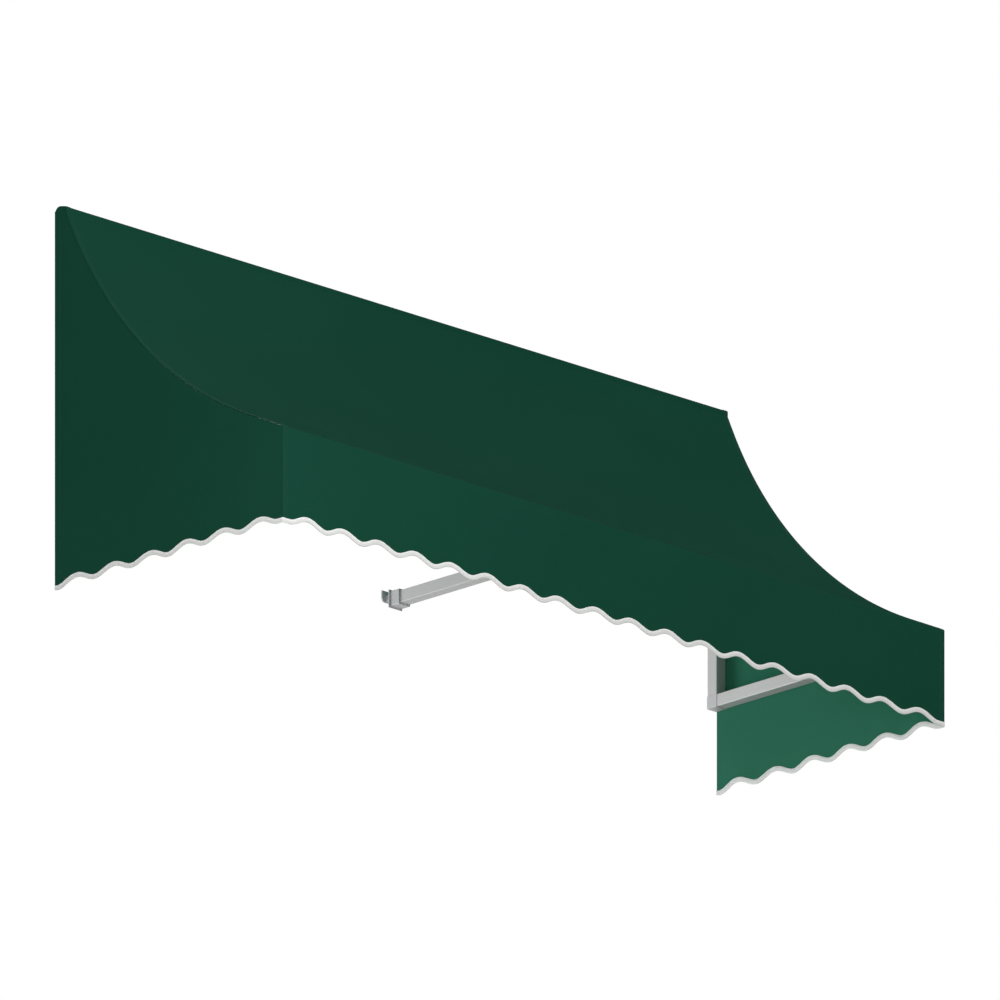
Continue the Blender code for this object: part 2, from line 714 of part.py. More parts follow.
def join_arm_to_rail(name, x, inner_side, arm, rail):
    """An arm's spigot, the bolt that draws it to the rail and the screw through the arm's side."""
    spigot = build_rail_spigot(f"rail_spigot_{name}", x)
    bolt_length = TUBE + GAP + SPIGOT_LENGTH / 2
    flat_screw(
        f"rail_bolt_{name}", along_d, x, RAIL_MIDDLE, RAIL_FRONT, -1, bolt_length, [rail, spigot]
    )
    screw_d = RAIL_BACK - GAP - SPIGOT_LENGTH + SCREW_END_DISTANCE / 2
    pan_screw(
        f"spigot_screw_{name}",
        along_x,
        screw_d,
        RAIL_MIDDLE,
        x + inner_side * TUBE / 2,
        -inner_side,
        TUBE_SCREW_LENGTH,
        [arm, spigot],
    )


def build_header_fixings(header):
    offset = FRAME_HALF - ANGLE_INSET
    for name, x in (("left", -offset), ("centre", 0.0), ("right", offset)):
        angle = build_header_angle(f"header_angle_{name}", x)
        seat = HEADER_FOOT - GAP - ANGLE_THICKNESS
        middle = (ANGLE_DEPTH + ANGLE_BEND) / 2
        pan_screw(
            f"header_screw_{name}",
            along_h,
            x,
            middle,
            seat,
            1,
            HEADER_SCREW_LENGTH,
            [angle, header],
        )


def build_awning():
    clear_scene()
    root = bpy.data.objects.new("awning", None)
    bpy.context.scene.collection.objects.link(root)
    header = build_header()
    rail = build_rail()
    cutters = rafter_cutters()
    for name, side in (("left", -1), ("right", 1)):
        build_end_frame(name, side, rail, cutters)
        build_end_panel(f"end_panel_{name}", side)
    build_centre_frame(rail, cutters)
    build_header_fixings(header)
    build_cover()
    build_binding()


build_awning()
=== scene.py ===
"""Looks of a fixed window awning: sewn canvas hood, bound scalloped edge and satin tube frame.

Everything is in the frame's own metres: X to the right as seen from the street, the wall plane at
Y = 0, the street towards -Y, and Z up. In the cloth classes a point of the side view is (d, h):
d is the distance out from the wall, h the height above the canopy's front edge.
"""

import logging
import math
from dataclasses import dataclass, field
from enum import Enum
from typing import Sequence, Union

import bpy
import numpy as np
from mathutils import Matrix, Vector


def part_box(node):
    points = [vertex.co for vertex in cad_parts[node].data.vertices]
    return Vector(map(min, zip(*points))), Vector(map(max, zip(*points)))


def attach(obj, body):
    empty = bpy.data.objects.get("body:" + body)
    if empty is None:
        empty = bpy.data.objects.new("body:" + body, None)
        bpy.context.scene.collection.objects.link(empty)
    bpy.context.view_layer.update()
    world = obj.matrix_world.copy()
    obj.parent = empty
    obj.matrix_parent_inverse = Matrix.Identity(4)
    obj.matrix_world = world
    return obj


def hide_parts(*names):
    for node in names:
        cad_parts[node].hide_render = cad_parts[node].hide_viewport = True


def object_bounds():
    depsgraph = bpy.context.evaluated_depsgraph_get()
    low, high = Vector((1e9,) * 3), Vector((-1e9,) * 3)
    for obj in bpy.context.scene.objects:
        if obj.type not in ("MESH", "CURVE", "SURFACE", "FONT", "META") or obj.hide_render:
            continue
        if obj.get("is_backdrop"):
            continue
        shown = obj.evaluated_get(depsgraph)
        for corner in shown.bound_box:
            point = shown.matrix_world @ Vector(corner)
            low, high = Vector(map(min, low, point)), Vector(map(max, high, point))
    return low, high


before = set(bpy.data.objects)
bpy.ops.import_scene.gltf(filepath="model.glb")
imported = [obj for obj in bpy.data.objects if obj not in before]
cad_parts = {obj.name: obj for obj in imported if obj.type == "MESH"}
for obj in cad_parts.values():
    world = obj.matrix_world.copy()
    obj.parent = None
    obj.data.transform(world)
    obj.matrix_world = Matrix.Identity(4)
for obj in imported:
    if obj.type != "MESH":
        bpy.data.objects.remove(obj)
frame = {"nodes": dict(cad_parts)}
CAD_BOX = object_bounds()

BODY = "root"
CLOTH_MAP = "cloth"
Colour = tuple[float, float, float]
Span = tuple[float, float]
Skins = tuple[bpy.types.Material, bpy.types.Material]
Array = np.ndarray

# A skin's smooth shading stops at an edge that turns more than this.
RIM_ANGLE = math.radians(50)
# A round has at least this many steps.
ROUND_STEPS = 8
# Two places that are nearer than this count as one.
CLOSE = 0.00001
# Half the width over which the edge of a doubled hem steps up.
HEM_EDGE = 0.0008
# The steps of a profile that lengths and areas, and the crown's height, are read from.
LENGTH_STEP = 0.002
CROWN_STEP = 0.0005
# Where a noise pattern's clouds start and are full.
CLOUD_EDGE: Span = (0.35, 0.75)

log = logging.getLogger("awning")


class Side(Enum):
    """The two ends of the awning, with the sign of their X."""

    LEFT = -1
    RIGHT = 1

    @property
    def word(self) -> str:
        """The end's name, as it stands in the names of nodes."""
        return self.name.lower()


class Grain(Enum):
    """The way a tube's drawn streaks run, as the factors that squeeze a pattern across them."""

    ALONG_X = (0.02, 1.0, 1.0)
    ALONG_Y = (1.0, 0.02, 1.0)
    ALONG_Z = (1.0, 1.0, 0.02)
    ALONG_BEND = (1.0, 0.05, 0.05)


class Wire:
    """One socket of a material's nodes, which can be reckoned with like a number."""

    def __init__(self, graph: "Graph", socket: bpy.types.NodeSocket) -> None:
        """Wraps a socket.

        Args:
            graph: The nodes that the socket belongs to.
            socket: An output socket that gives a number, a vector or a colour.
        """
        self.graph = graph
        self.socket = socket

    def maths(self, operation: str, *values: "Value") -> "Wire":
        """Adds a Math node.

        Args:
            operation: The node's operation, such as ADD.
            values: What goes into its sockets, in order.

        Returns:
            The node's result.
        """
        return self.graph.add("ShaderNodeMath", {"operation": operation}, dict(enumerate(values)))

    def __add__(self, other: "Value") -> "Wire":
        """The sum."""
        return self.maths("ADD", self, other)

    def __radd__(self, other: float) -> "Wire":
        """The sum, with a plain number first."""
        return self.maths("ADD", other, self)

    def __sub__(self, other: "Value") -> "Wire":
        """The difference."""
        return self.maths("SUBTRACT", self, other)

    def __rsub__(self, other: float) -> "Wire":
        """The difference, with a plain number first."""
        return self.maths("SUBTRACT", other, self)

    def __mul__(self, other: "Value") -> "Wire":
        """The product."""
        return self.maths("MULTIPLY", self, other)

    def __rmul__(self, other: float) -> "Wire":
        """The product, with a plain number first."""
        return self.maths("MULTIPLY", other, self)

    def __pow__(self, other: "Value") -> "Wire":
        """The power."""
        return self.maths("POWER", self, other)

    def __abs__(self) -> "Wire":
        """The size without its sign."""
        return self.maths("ABSOLUTE", self)

    def __gt__(self, other: "Value") -> "Wire":
        """1 where this is the greater, and 0 elsewhere."""
        return self.maths("GREATER_THAN", self, other)

    def wave(self, length: float) -> "Wire":
        """A sine of the value, which crosses zero at every multiple of a length."""
        turn = self * (math.pi / length)
        return turn.maths("SINE", turn)

    def choose(self, first: "Value", second: "Value") -> "Wire":
        """The first value where this is 1, and the second where it is 0."""
        return self * first + (1 - self) * second

    def ramp(self, start: float, end: float) -> "Wire":
        """A soft step.

        Args:
            start: The value at which it is 0.
            end: The value at which it is 1, which may be the smaller one.

        Returns:
            The step's value.
        """
        settings = {"interpolation_type": "SMOOTHSTEP"}
        values = {"Value": self, "From Min": start, "From Max": end}
        return self.graph.add("ShaderNodeMapRange", settings, values)


Value = Union[Wire, float, Sequence[float]]


class Graph:
    """The nodes of one material, floor or world."""

    def __init__(self, tree: bpy.types.NodeTree) -> None:
        """Takes the node tree that the nodes are added to."""
        self.tree = tree

    def add(
        self,
        kind: str,
        settings: dict[str, object] | None = None,
        values: dict[int | str, Value] | None = None,
        output: int | str = 0,
    ) -> Wire:
        """Adds one node.

        Args:
            kind: The node's type.
            settings: Its own settings, which are set first.
            values: What each of its sockets holds, a plain value or a wire to link.
            output: The output socket that is wanted.

        Returns:
            The wire of that output.
        """
        node = self.tree.nodes.new(kind)
        for name, setting in (settings or {}).items():
            setattr(node, name, setting)
        for name, value in (values or {}).items():
            if isinstance(value, Wire):
                self.tree.links.new(value.socket, node.inputs[name])
            else:
                node.inputs[name].default_value = value
        return Wire(self, node.outputs[output])

    def vector(self, x: Value, y: Value, z: Value = 0.0) -> Wire:
        """A vector from its three parts."""
        return self.add("ShaderNodeCombineXYZ", {}, {0: x, 1: y, 2: z})

    def parts(self, vector: Wire) -> tuple[Wire, Wire, Wire]:
        """Splits a vector.

        Args:
            vector: The vector.

        Returns:
            Its three parts.
        """
        first = self.add("ShaderNodeSeparateXYZ", {}, {0: vector})
        outputs = first.socket.node.outputs
        return first, Wire(self, outputs[1]), Wire(self, outputs[2])

    def object_place(self) -> Wire:
        """The place on the object, in metres."""
        return self.add("ShaderNodeTexCoord", output="Object")

    def cloth_place(self) -> tuple[Wire, Wire]:
        """The two values of the cloth map, in metres."""
        first, second, _ = self.parts(self.add("ShaderNodeUVMap", {"uv_map": CLOTH_MAP}))
        return first, second

    def scaled(self, vector: Wire, factors: Sequence[float]) -> Wire:
        """A vector whose parts are each multiplied by a factor of their own."""
        settings = {"operation": "MULTIPLY"}
        return self.add("ShaderNodeVectorMath", settings, {0: vector, 1: tuple(factors)})

    def noise(self, vector: Wire, scale: float, detail: float = 2.0) -> Wire:
        """A cloudy pattern from 0 to 1.

        Args:
            vector: Where it is read.
            scale: How many of its clouds fit into a metre.
            detail: How many finer layers it has.

        Returns:
            The pattern's value.
        """
        values = {"Vector": vector, "Scale": scale, "Detail": detail}
        return self.add("ShaderNodeTexNoise", {}, values)

    def clouds(self, first: Wire, second: Wire, pattern: Span, detail: float = 2.0) -> Wire:
        """A cloudy pattern on the cloth map, with so many clouds in a metre each way."""
        return self.noise(self.vector(first * pattern[0], second * pattern[1]), 1.0, detail)

    def blend(self, factor: Value, first: Value, second: Value) -> Wire:
        """Mixes two colours.

        Args:
            factor: How much of the second colour there is, from 0 to 1.
            first: The colour where the factor is 0.
            second: The colour where the factor is 1.

        Returns:
            The mixed colour.
        """
        settings = {"data_type": "RGBA"}
        values = {0: factor, 6: padded(first), 7: padded(second)}
        return self.add("ShaderNodeMix", settings, values, 2)

    def shade(self, colour: Value, factor: Value) -> Wire:
        """Makes a colour lighter or darker.

        Args:
            colour: The colour.
            factor: What each of its three parts is multiplied by.

        Returns:
            The changed colour.
        """
        settings = {"data_type": "RGBA", "blend_type": "MULTIPLY"}
        grey = self.vector(factor, factor, factor)
        return self.add("ShaderNodeMix", settings, {0: 1.0, 6: padded(colour), 7: grey}, 2)

    def bump(self, height: Wire, depth: float, strength: float = 1.0) -> Wire:
        """The normal of a surface with a relief.

        Args:
            height: The relief, from 0 to 1.
            depth: How deep 1 is, in metres.
            strength: How much of it shows.

        Returns:
            The normal.
        """
        values = {"Height": height, "Distance": depth, "Strength": strength}
        return self.add("ShaderNodeBump", {}, values)


def padded(colour: Value) -> Value:
    """A plain colour with its alpha, or a wire as it is."""
    return colour if isinstance(colour, Wire) else (*colour, 1.0)


def new_material(name: str, constants: dict[str, float]) -> tuple[bpy.types.Material, Graph]:
    """A material with one shader, whose constant sockets are set.

    Args:
        name: The material's name.
        constants: Sockets that hold the same value all over the surface.

    Returns:
        The material and its nodes.
    """
    material = bpy.data.materials.new(name)
    material.use_nodes = True
    shader = material.node_tree.nodes["Principled BSDF"]
    for socket, value in constants.items():
        shader.inputs[socket].default_value = value
    return material, Graph(material.node_tree)


def connect(material: bpy.types.Material, wires: dict[str, Wire]) -> bpy.types.Material:
    """Links wires to the sockets of a material's shader.

    Args:
        material: The material.
        wires: The wire for each socket, by the socket's name.

    Returns:
        The same material.
    """
    shader = material.node_tree.nodes["Principled BSDF"]
    for socket, wire in wires.items():
        material.node_tree.links.new(wire.socket, shader.inputs[socket])
    return material


@dataclass(frozen=True)
class Canvas:
    """Woven awning canvas, seen from one side.

    Attributes:
        name: The material's name.
        colour: The yarn's colour.
        faded: The colour where sun and rain have paled it most.
        yarn: The width of one yarn, in metres.
        relief: How far the yarns stand up, in metres.
        flatness: The power that a yarn's arch has along its length; 0 would make it level.
        slubs: How many slubs fit into a metre across a yarn, and along it.
        slub_rise: How far a slub stands up, as a share of the weave.
        clouds: How many clouds of fading fit into a metre across the cloth, and along it.
        fading: How much of the faded colour shows at most.
        tones: The shade between the yarns, and what the weave and the slubs add to it.
    """

    name: str
    colour: Colour
    faded: Colour
    yarn: float = 0.0009
    relief: float = 0.00018
    flatness: float = 0.35
    slubs: Span = (900.0, 14.0)
    slub_rise: float = 0.35
    clouds: Span = (2.3, 3.1)
    fading: float = 0.6
    tones: tuple[float, float, float] = (0.77, 0.30, 0.14)

    def material(self) -> bpy.types.Material:
        """Builds the material.

        The relief is a plain weave. Across a yarn and along it a sine arch rises between its
        neighbours. A yarn lies on top where the product of the two sines is positive, and its
        arch is long and flat there, while the other yarn's is short. Slubs are clouds drawn out
        along each yarn, and fading is a slow cloud over the whole cloth.

        Returns:
            The material.
        """
        constants = {"Roughness": 1.0, "Specular IOR Level": 0.0}
        constants |= {"Sheen Weight": 0.01, "Sheen Roughness": 0.6}
        material, graph = new_material(self.name, constants)
        across, along = graph.cloth_place()
        warp, weft = across.wave(self.yarn), along.wave(self.yarn)
        on_top = warp * weft > 0.0
        warp_arch = abs(warp) * abs(weft) ** self.flatness
        weft_arch = abs(weft) * abs(warp) ** self.flatness
        weave = on_top.choose(warp_arch, weft_arch)
        warp_slub = graph.clouds(across, along, self.slubs)
        weft_slub = graph.clouds(across, along, self.slubs[::-1])
        slub = on_top.choose(warp_slub, weft_slub)
        cloud = graph.clouds(across, along, self.clouds, detail=4.0).ramp(*CLOUD_EDGE)
        base, by_weave, by_slub = self.tones
        tone = base + weave * by_weave + slub * by_slub
        colour = graph.shade(graph.blend(cloud * self.fading, self.colour, self.faded), tone)
        normal = graph.bump(weave + slub * self.slub_rise, self.relief, strength=0.7)
        return connect(material, {"Base Color": colour, "Normal": normal})


@dataclass(frozen=True)
class Tape:
    """White binding tape, woven in fine ribs across its length.

    Attributes:
        name: The material's name.
        colour: The tape's colour on the street side.
        stain_and_shade: The colour of the stains, and of the painted shade along the fold.
        inner_leg_painted_light: The colour past the fold, on the inner leg: painted light, lighter
            than the tape's own colour.
        rib: From one rib to the next, in metres.
        thread: From one thread across the ribs to the next.
        rib_share: How much of the relief the ribs make; the threads make the rest.
        relief: How far the ribs stand up, in metres.
        fold: Where the fold lies round the tape's section.
        change: Over which length past the fold the lighter, painted-light colour comes in.
        fold_shade: How far from the fold the painted shade ends, and how far it is full.
        stains: How many stains fit into a metre along the tape, and across it.
        stain_edge: Where the stains' clouds start and are full.
        shares: How much of the soiled colour a stain brings, and how much the painted shade at the
            fold brings.
        tones: The shade between the ribs, and what the relief adds to it.
    """

    name: str = "white_tape"
    colour: Colour = (0.745, 0.755, 0.745)
    stain_and_shade: Colour = (0.60, 0.61, 0.59)
    inner_leg_painted_light: Colour = (0.93, 0.94, 0.93)
    rib: float = 0.0011
    thread: float = 0.00055
    rib_share: float = 0.8
    relief: float = 0.0002
    fold: float = 0.0101
    change: float = 0.0015
    fold_shade: Span = (0.0072, 0.0052)
    stains: Span = (9.0, 60.0)
    stain_edge: Span = (0.45, 0.8)
    shares: Span = (0.35, 0.65)
    tones: Span = (0.92, 0.10)

    def material(self) -> bpy.types.Material:
        """Builds the material.

        On the cloth map the first value runs along the tape, and the second is the distance
        round its section. Ribs and threads are sines of the two. Stains lie in clouds. Along the
        fold on the street side the colour is darkened as painted shade, and past the fold the
        inner leg is lightened as painted light.

        Returns:
            The material.
        """
        constants = {"Roughness": 0.82, "Specular IOR Level": 0.25}
        constants |= {"Sheen Weight": 0.05, "Sheen Roughness": 0.5}
        material, graph = new_material(self.name, constants)
        along, across = graph.cloth_place()
        ribs, threads = abs(along.wave(self.rib)), abs(across.wave(self.thread))
        relief = ribs * self.rib_share + threads * (1 - self.rib_share)
        stain = graph.clouds(along, across, self.stains, detail=3.0).ramp(*self.stain_edge)
        # Painted shade: the colour darkens along the bottom fold on the street side.
        fold_shade = abs(across - self.fold).ramp(*self.fold_shade)
        stains_and_shade = stain * self.shares[0] + fold_shade * self.shares[1]
        # Painted light: past the fold, on the inner leg, the colour is lighter.
        inside = across.ramp(self.fold, self.fold + self.change)
        colour = graph.blend(inside, graph.blend(stains_and_shade, self.colour, self.stain_and_shade), self.inner_leg_painted_light)
        colour = graph.shade(colour, self.tones[0] + relief * self.tones[1])
        normal = graph.bump(relief, self.relief, strength=0.7)
        return connect(material, {"Base Color": colour, "Normal": normal})


@dataclass(frozen=True)
class Thread:
    """Twisted sewing thread.

    Attributes:
        name: The material's name.
        colour: The thread's colour.
        twist: From one ply to the next, in metres.
        relief: How deep the furrow between the plies is, in metres.
        tones: The shade in the furrow, and what the ply adds to it.
    """

    name: str
    colour: Colour
    twist: float = 0.0007
    relief: float = 0.0001
    tones: Span = (0.75, 0.35)

    def material(self) -> bpy.types.Material:
        """Builds the material: slanting bands of light and dark, as two plies twist.

        Returns:
            The material.
        """
        constants = {"Roughness": 0.6, "Specular IOR Level": 0.3}
        material, graph = new_material(self.name, constants)
        x, y, z = graph.parts(graph.object_place())
        ply = abs((x + y + z).wave(self.twist))
        colour = graph.shade(self.colour, self.tones[0] + ply * self.tones[1])
        normal = graph.bump(ply, self.relief, strength=0.6)
        return connect(material, {"Base Color": colour, "Normal": normal})


@dataclass(frozen=True)
class Metal:
    """A bare metal, either drawn in streaks or cast with a fine grain.

    Attributes:
        name: The material's name.
        colour: The metal's colour.
        grain: How the pattern is squeezed on each axis, all 1 for a casting.
        roughness: How blurred its gloss is between the streaks.
        metallic: How much of it shines as metal; what is left is its thin grey oxide.
        pattern: How many streaks or grains fit into a metre.
        relief: How deep they are, in metres.
        patches: How many dulled patches fit into a metre.
        tones: The shade between the streaks, and what a streak and a patch add to it.
        blurs: What a streak and a patch add to the roughness.
    """

    name: str
    colour: Colour
    grain: tuple[float, float, float] = (1.0, 1.0, 1.0)
    roughness: float = 0.45
    metallic: float = 0.35
    pattern: float = 900.0
    relief: float = 0.00006
    patches: float = 14.0
    tones: tuple[float, float, float] = (0.90, 0.14, 0.06)
    blurs: Span = (0.10, 0.06)

    def material(self) -> bpy.types.Material:
        """Builds the material.

        The streaks are clouds squeezed across the drawing direction. Slow clouds dull patches of
        the surface, as handling does, and both change the gloss as well as the colour.

        Returns:
            The material.
        """
        constants = {"Metallic": self.metallic, "Specular IOR Level": 0.25}
        material, graph = new_material(self.name, constants)
        place = graph.object_place()
        streak = graph.noise(graph.scaled(place, self.grain), self.pattern, detail=3.0)
        patch = graph.noise(place, self.patches, detail=4.0).ramp(*CLOUD_EDGE)
        base, by_streak, by_patch = self.tones
        wires = {
            "Base Color": graph.shade(self.colour, base + streak * by_streak + patch * by_patch),
            "Roughness": self.roughness + streak * self.blurs[0] + patch * self.blurs[1],
            "Normal": graph.bump(streak, self.relief, strength=0.5),
        }
        return connect(material, wires)


@dataclass(frozen=True)
class Moulding:
    """Moulded plastic of the end plugs.

    Attributes:
        name: The material's name.
        colour: The plastic's colour.
        grain: How many grains of the surface fit into a metre.
        relief: How deep they are, in metres.
        patches: How many worn patches fit into a metre.
        tones: The darkest shade, and what a patch adds to it.
        blurs: The least roughness, and what a patch adds to it.
    """

    name: str = "plug_plastic"
    colour: Colour = (0.30, 0.31, 0.31)
    grain: float = 2600.0
    relief: float = 0.00004
    patches: float = 40.0
    tones: Span = (0.9, 0.2)
    blurs: Span = (0.42, 0.2)

    def material(self) -> bpy.types.Material:
        """Builds the material: a fine spark-eroded grain, with its gloss worn in patches.

        Returns:
            The material.
        """
        material, graph = new_material(self.name, {"Specular IOR Level": 0.4})
        place = graph.object_place()
        patch = graph.noise(place, self.patches, detail=3.0)
        wires = {
            "Base Color": graph.shade(self.colour, self.tones[0] + patch * self.tones[1]),
            "Roughness": self.blurs[0] + patch * self.blurs[1],
            "Normal": graph.bump(graph.noise(place, self.grain), self.relief, strength=0.5),
        }
        return connect(material, wires)


def new_piece(
    name: str, points: Array, faces: Sequence[Array], uv: Array | None = None
) -> bpy.types.Object:
    """Makes one object at the origin from arrays.

    Args:
        name: The piece's name.
        points: The places of its points, one row each.
        faces: Arrays of point indices; each array holds faces of one number of corners.
        uv: The cloth map's place of each point, in metres.

    Returns:
        The new object, smooth shaded.
    """
    mesh = bpy.data.meshes.new(name)
    corners = np.concatenate([group.ravel() for group in faces]).astype(np.int32)
    sizes = np.concatenate([np.full(len(group), group.shape[1]) for group in faces])
    mesh.vertices.add(len(points))
    mesh.vertices.foreach_set("co", points.astype(np.float32).ravel())
    mesh.loops.add(len(corners))
    mesh.loops.foreach_set("vertex_index", corners)
    mesh.polygons.add(len(sizes))
    mesh.polygons.foreach_set("loop_start", np.cumsum(sizes) - sizes)
    mesh.update(calc_edges=True)
    mesh.shade_smooth()
    if uv is not None:
        layer = mesh.uv_layers.new(name=CLOTH_MAP)
        layer.data.foreach_set("uv", uv[corners].astype(np.float32).ravel())
    piece = bpy.data.objects.new(name, mesh)
    bpy.context.scene.collection.objects.link(piece)
    return piece


def grid_faces(rows: int, columns: int, first: int = 0) -> Array:
    """The four-cornered faces of a grid of points that are numbered row by row.

    Args:
        rows: How many rows of points there are.
        columns: How many points each row has.
        first: The first point's number.

    Returns:
        One row of four point numbers for each face.
    """
    corner = first + np.arange(rows - 1)[:, None] * columns + np.arange(columns - 1)[None, :]
    corner = corner.ravel()
    return np.stack([corner, corner + 1, corner + columns + 1, corner + columns], axis=1)


def tube_faces(rows: int, columns: int) -> tuple[Array, Array]:
    """The side faces of a tube whose rings are the rows of a grid of points.

    Args:
        rows: How many rings there are.
        columns: How many points each ring has.

    Returns:
        The grid of the points' numbers, and one row of four of them for each face.
    """
    index = np.arange(rows * columns).reshape(rows, columns)
    ring = np.concatenate([index, index[:, :1]], axis=1)
    return index, ring.ravel()[grid_faces(rows, columns + 1)]


def unit(vectors: Array) -> Array:
    """Vectors brought to a length of 1."""
    return vectors / np.linalg.norm(vectors, axis=-1, keepdims=True)


def grid_normals(grid: Array) -> Array:
    """Unit normals of a grid of points: the row step crossed with the column step."""
    return unit(np.cross(np.gradient(grid, axis=0), np.gradient(grid, axis=1)))


def line_normals(line: Array) -> Array:
    """Unit normals of a line in a plane: its direction turned a quarter to the left."""
    along = unit(np.gradient(line, axis=0))
    return np.stack([-along[:, 1], along[:, 0]], axis=1)


def travelled(line: Array) -> Array:
    """The distance along a line of points up to each of them."""
    steps = np.linalg.norm(np.diff(line, axis=0), axis=1)
    return np.concatenate([[0.0], np.cumsum(steps)])


def sampled(values: Array, way: Array, at: Array) -> Array:
    """Rows of values that stand at distances along a way, read at other distances."""
    return np.stack([np.interp(at, way, column) for column in values.T], axis=1)


def sheet_piece(
    name: str, outer: Array, uv: Array, thickness: float, normals: Array, skins: Skins
) -> bpy.types.Object:
    """A closed sheet of cloth from the grid of its outer skin.

    The inner skin is each outer point moved inward along its normal by the thickness. Four rims
    close the sheet. Outer skin and rims have material 0, the inner skin has material 1, and the
    shading stops where a skin turns into a rim.

    Args:
        name: The piece's name.
        outer: The grid of the outer skin's points.
        uv: The place of each grid point on the flat cloth, in metres.
        thickness: The cloth's thickness.
        normals: The unit normal of each grid point, to the outside.
        skins: The materials of the outer and the inner skin.

    Returns:
        The new object.
    """
    rows, columns = outer.shape[:2]
    middle = rows // 2, columns // 2
    turned = float(grid_normals(outer)[middle] @ normals[middle]) < 0
    inner = outer - normals * thickness
    points = np.concatenate([outer.reshape(-1, 3), inner.reshape(-1, 3)])
    count = rows * columns
    front = grid_faces(rows, columns)
    back = grid_faces(rows, columns, count)[:, ::-1]
    index = np.arange(count).reshape(rows, columns)
    loop = np.concatenate([index[0], index[1:, -1], index[-1, -2::-1], index[-2:0:-1, 0]])
    after = np.roll(loop, -1)
    rim = np.stack([loop, loop + count, after + count, after], axis=1)
    if not turned:
        front, back, rim = front[:, ::-1], back[:, ::-1], rim[:, ::-1]
    maps = np.concatenate([uv.reshape(-1, 2)] * 2)
    piece = new_piece(name, points, [front, rim, back], maps)
    skin = np.repeat([0, 1], [len(front) + len(rim), len(back)]).astype(np.int32)
    piece.data.polygons.foreach_set("material_index", skin)
    piece.data.set_sharp_from_angle(angle=RIM_ANGLE)
    for material in skins:
        piece.data.materials.append(material)
    return piece


def smooth_step(value: Array, start: float, end: float) -> Array:
    """0 before start and 1 after end, with 3t² − 2t³ between them."""
    t = np.clip((value - start) / (end - start), 0.0, 1.0)
    return t * t * (3.0 - 2.0 * t)


def rounded_path(corners: Sequence[tuple[float, float, float]], step: float) -> Array:
    """Points along straight runs whose corners are rounded.

    At a corner (a, b, r) the two runs stop r·tan(turn / 2) short of it, and an arc of radius r
    that is tangent to both joins them. A point of the arc is its centre plus the radius turned
    evenly from the first contact to the second.

    Args:
        corners: The corners, each with its radius, which is 0 at the two ends.
        step: The distance between points, at most.

    Returns:
        The points (a, b), one row each, without doubles.
    """
    places = np.array([corner[:2] for corner in corners], float)
    pieces, last = [places[:1]], places[0]
    for here, radius, before, after in zip(
        places[1:], [c[2] for c in corners[1:]], places[:-1], [*places[2:], None]
    ):
        arc, stop = np.empty((0, 2)), here
        if after is not None and radius > 0:
            come, leave = unit(here - before), unit(after - here)
            turn = math.atan2(come[0] * leave[1] - come[1] * leave[0], come @ leave)
            stop = here - come * radius * math.tan(abs(turn) / 2)
            spoke = np.array([come[1], -come[0]]) * radius * math.copysign(1, turn)
            count = max(ROUND_STEPS, math.ceil(abs(turn) * radius / step))
            angle = turn * np.arange(1, count + 1)[:, None] / count
            square = np.array([-spoke[1], spoke[0]])
            arc = stop - spoke + np.cos(angle) * spoke + np.sin(angle) * square
        count = max(1, math.ceil(np.linalg.norm(stop - last) / step))
        share = np.arange(1, count + 1)[:, None] / count
        pieces += [last + (stop - last) * share, arc]
        last = arc[-1] if len(arc) else stop
    return np.concatenate(pieces)


@dataclass(frozen=True)
class Scallops:
    """The wavy trim along one face of the hood.

    Attributes:
        pitch: From one scallop to the next.
        margin: From the front corner to the first scallop's lowest point.
        height: From a scallop's lowest point to its highest.
    """

    pitch: float
    margin: float
    height: float

    def turn(self, from_corner: Array) -> Array:
        """The wave's angle, which is 0 at each lowest point, and between the corner and the first."""
        return 2 * math.pi * np.maximum(from_corner - self.margin, 0.0) / self.pitch

    def rise(self, from_corner: Array) -> Array:
        """How far the edge stands over its lowest points: a cosine wave, flat next to the corner."""
        return self.height / 2 * (1 - np.cos(self.turn(from_corner)))


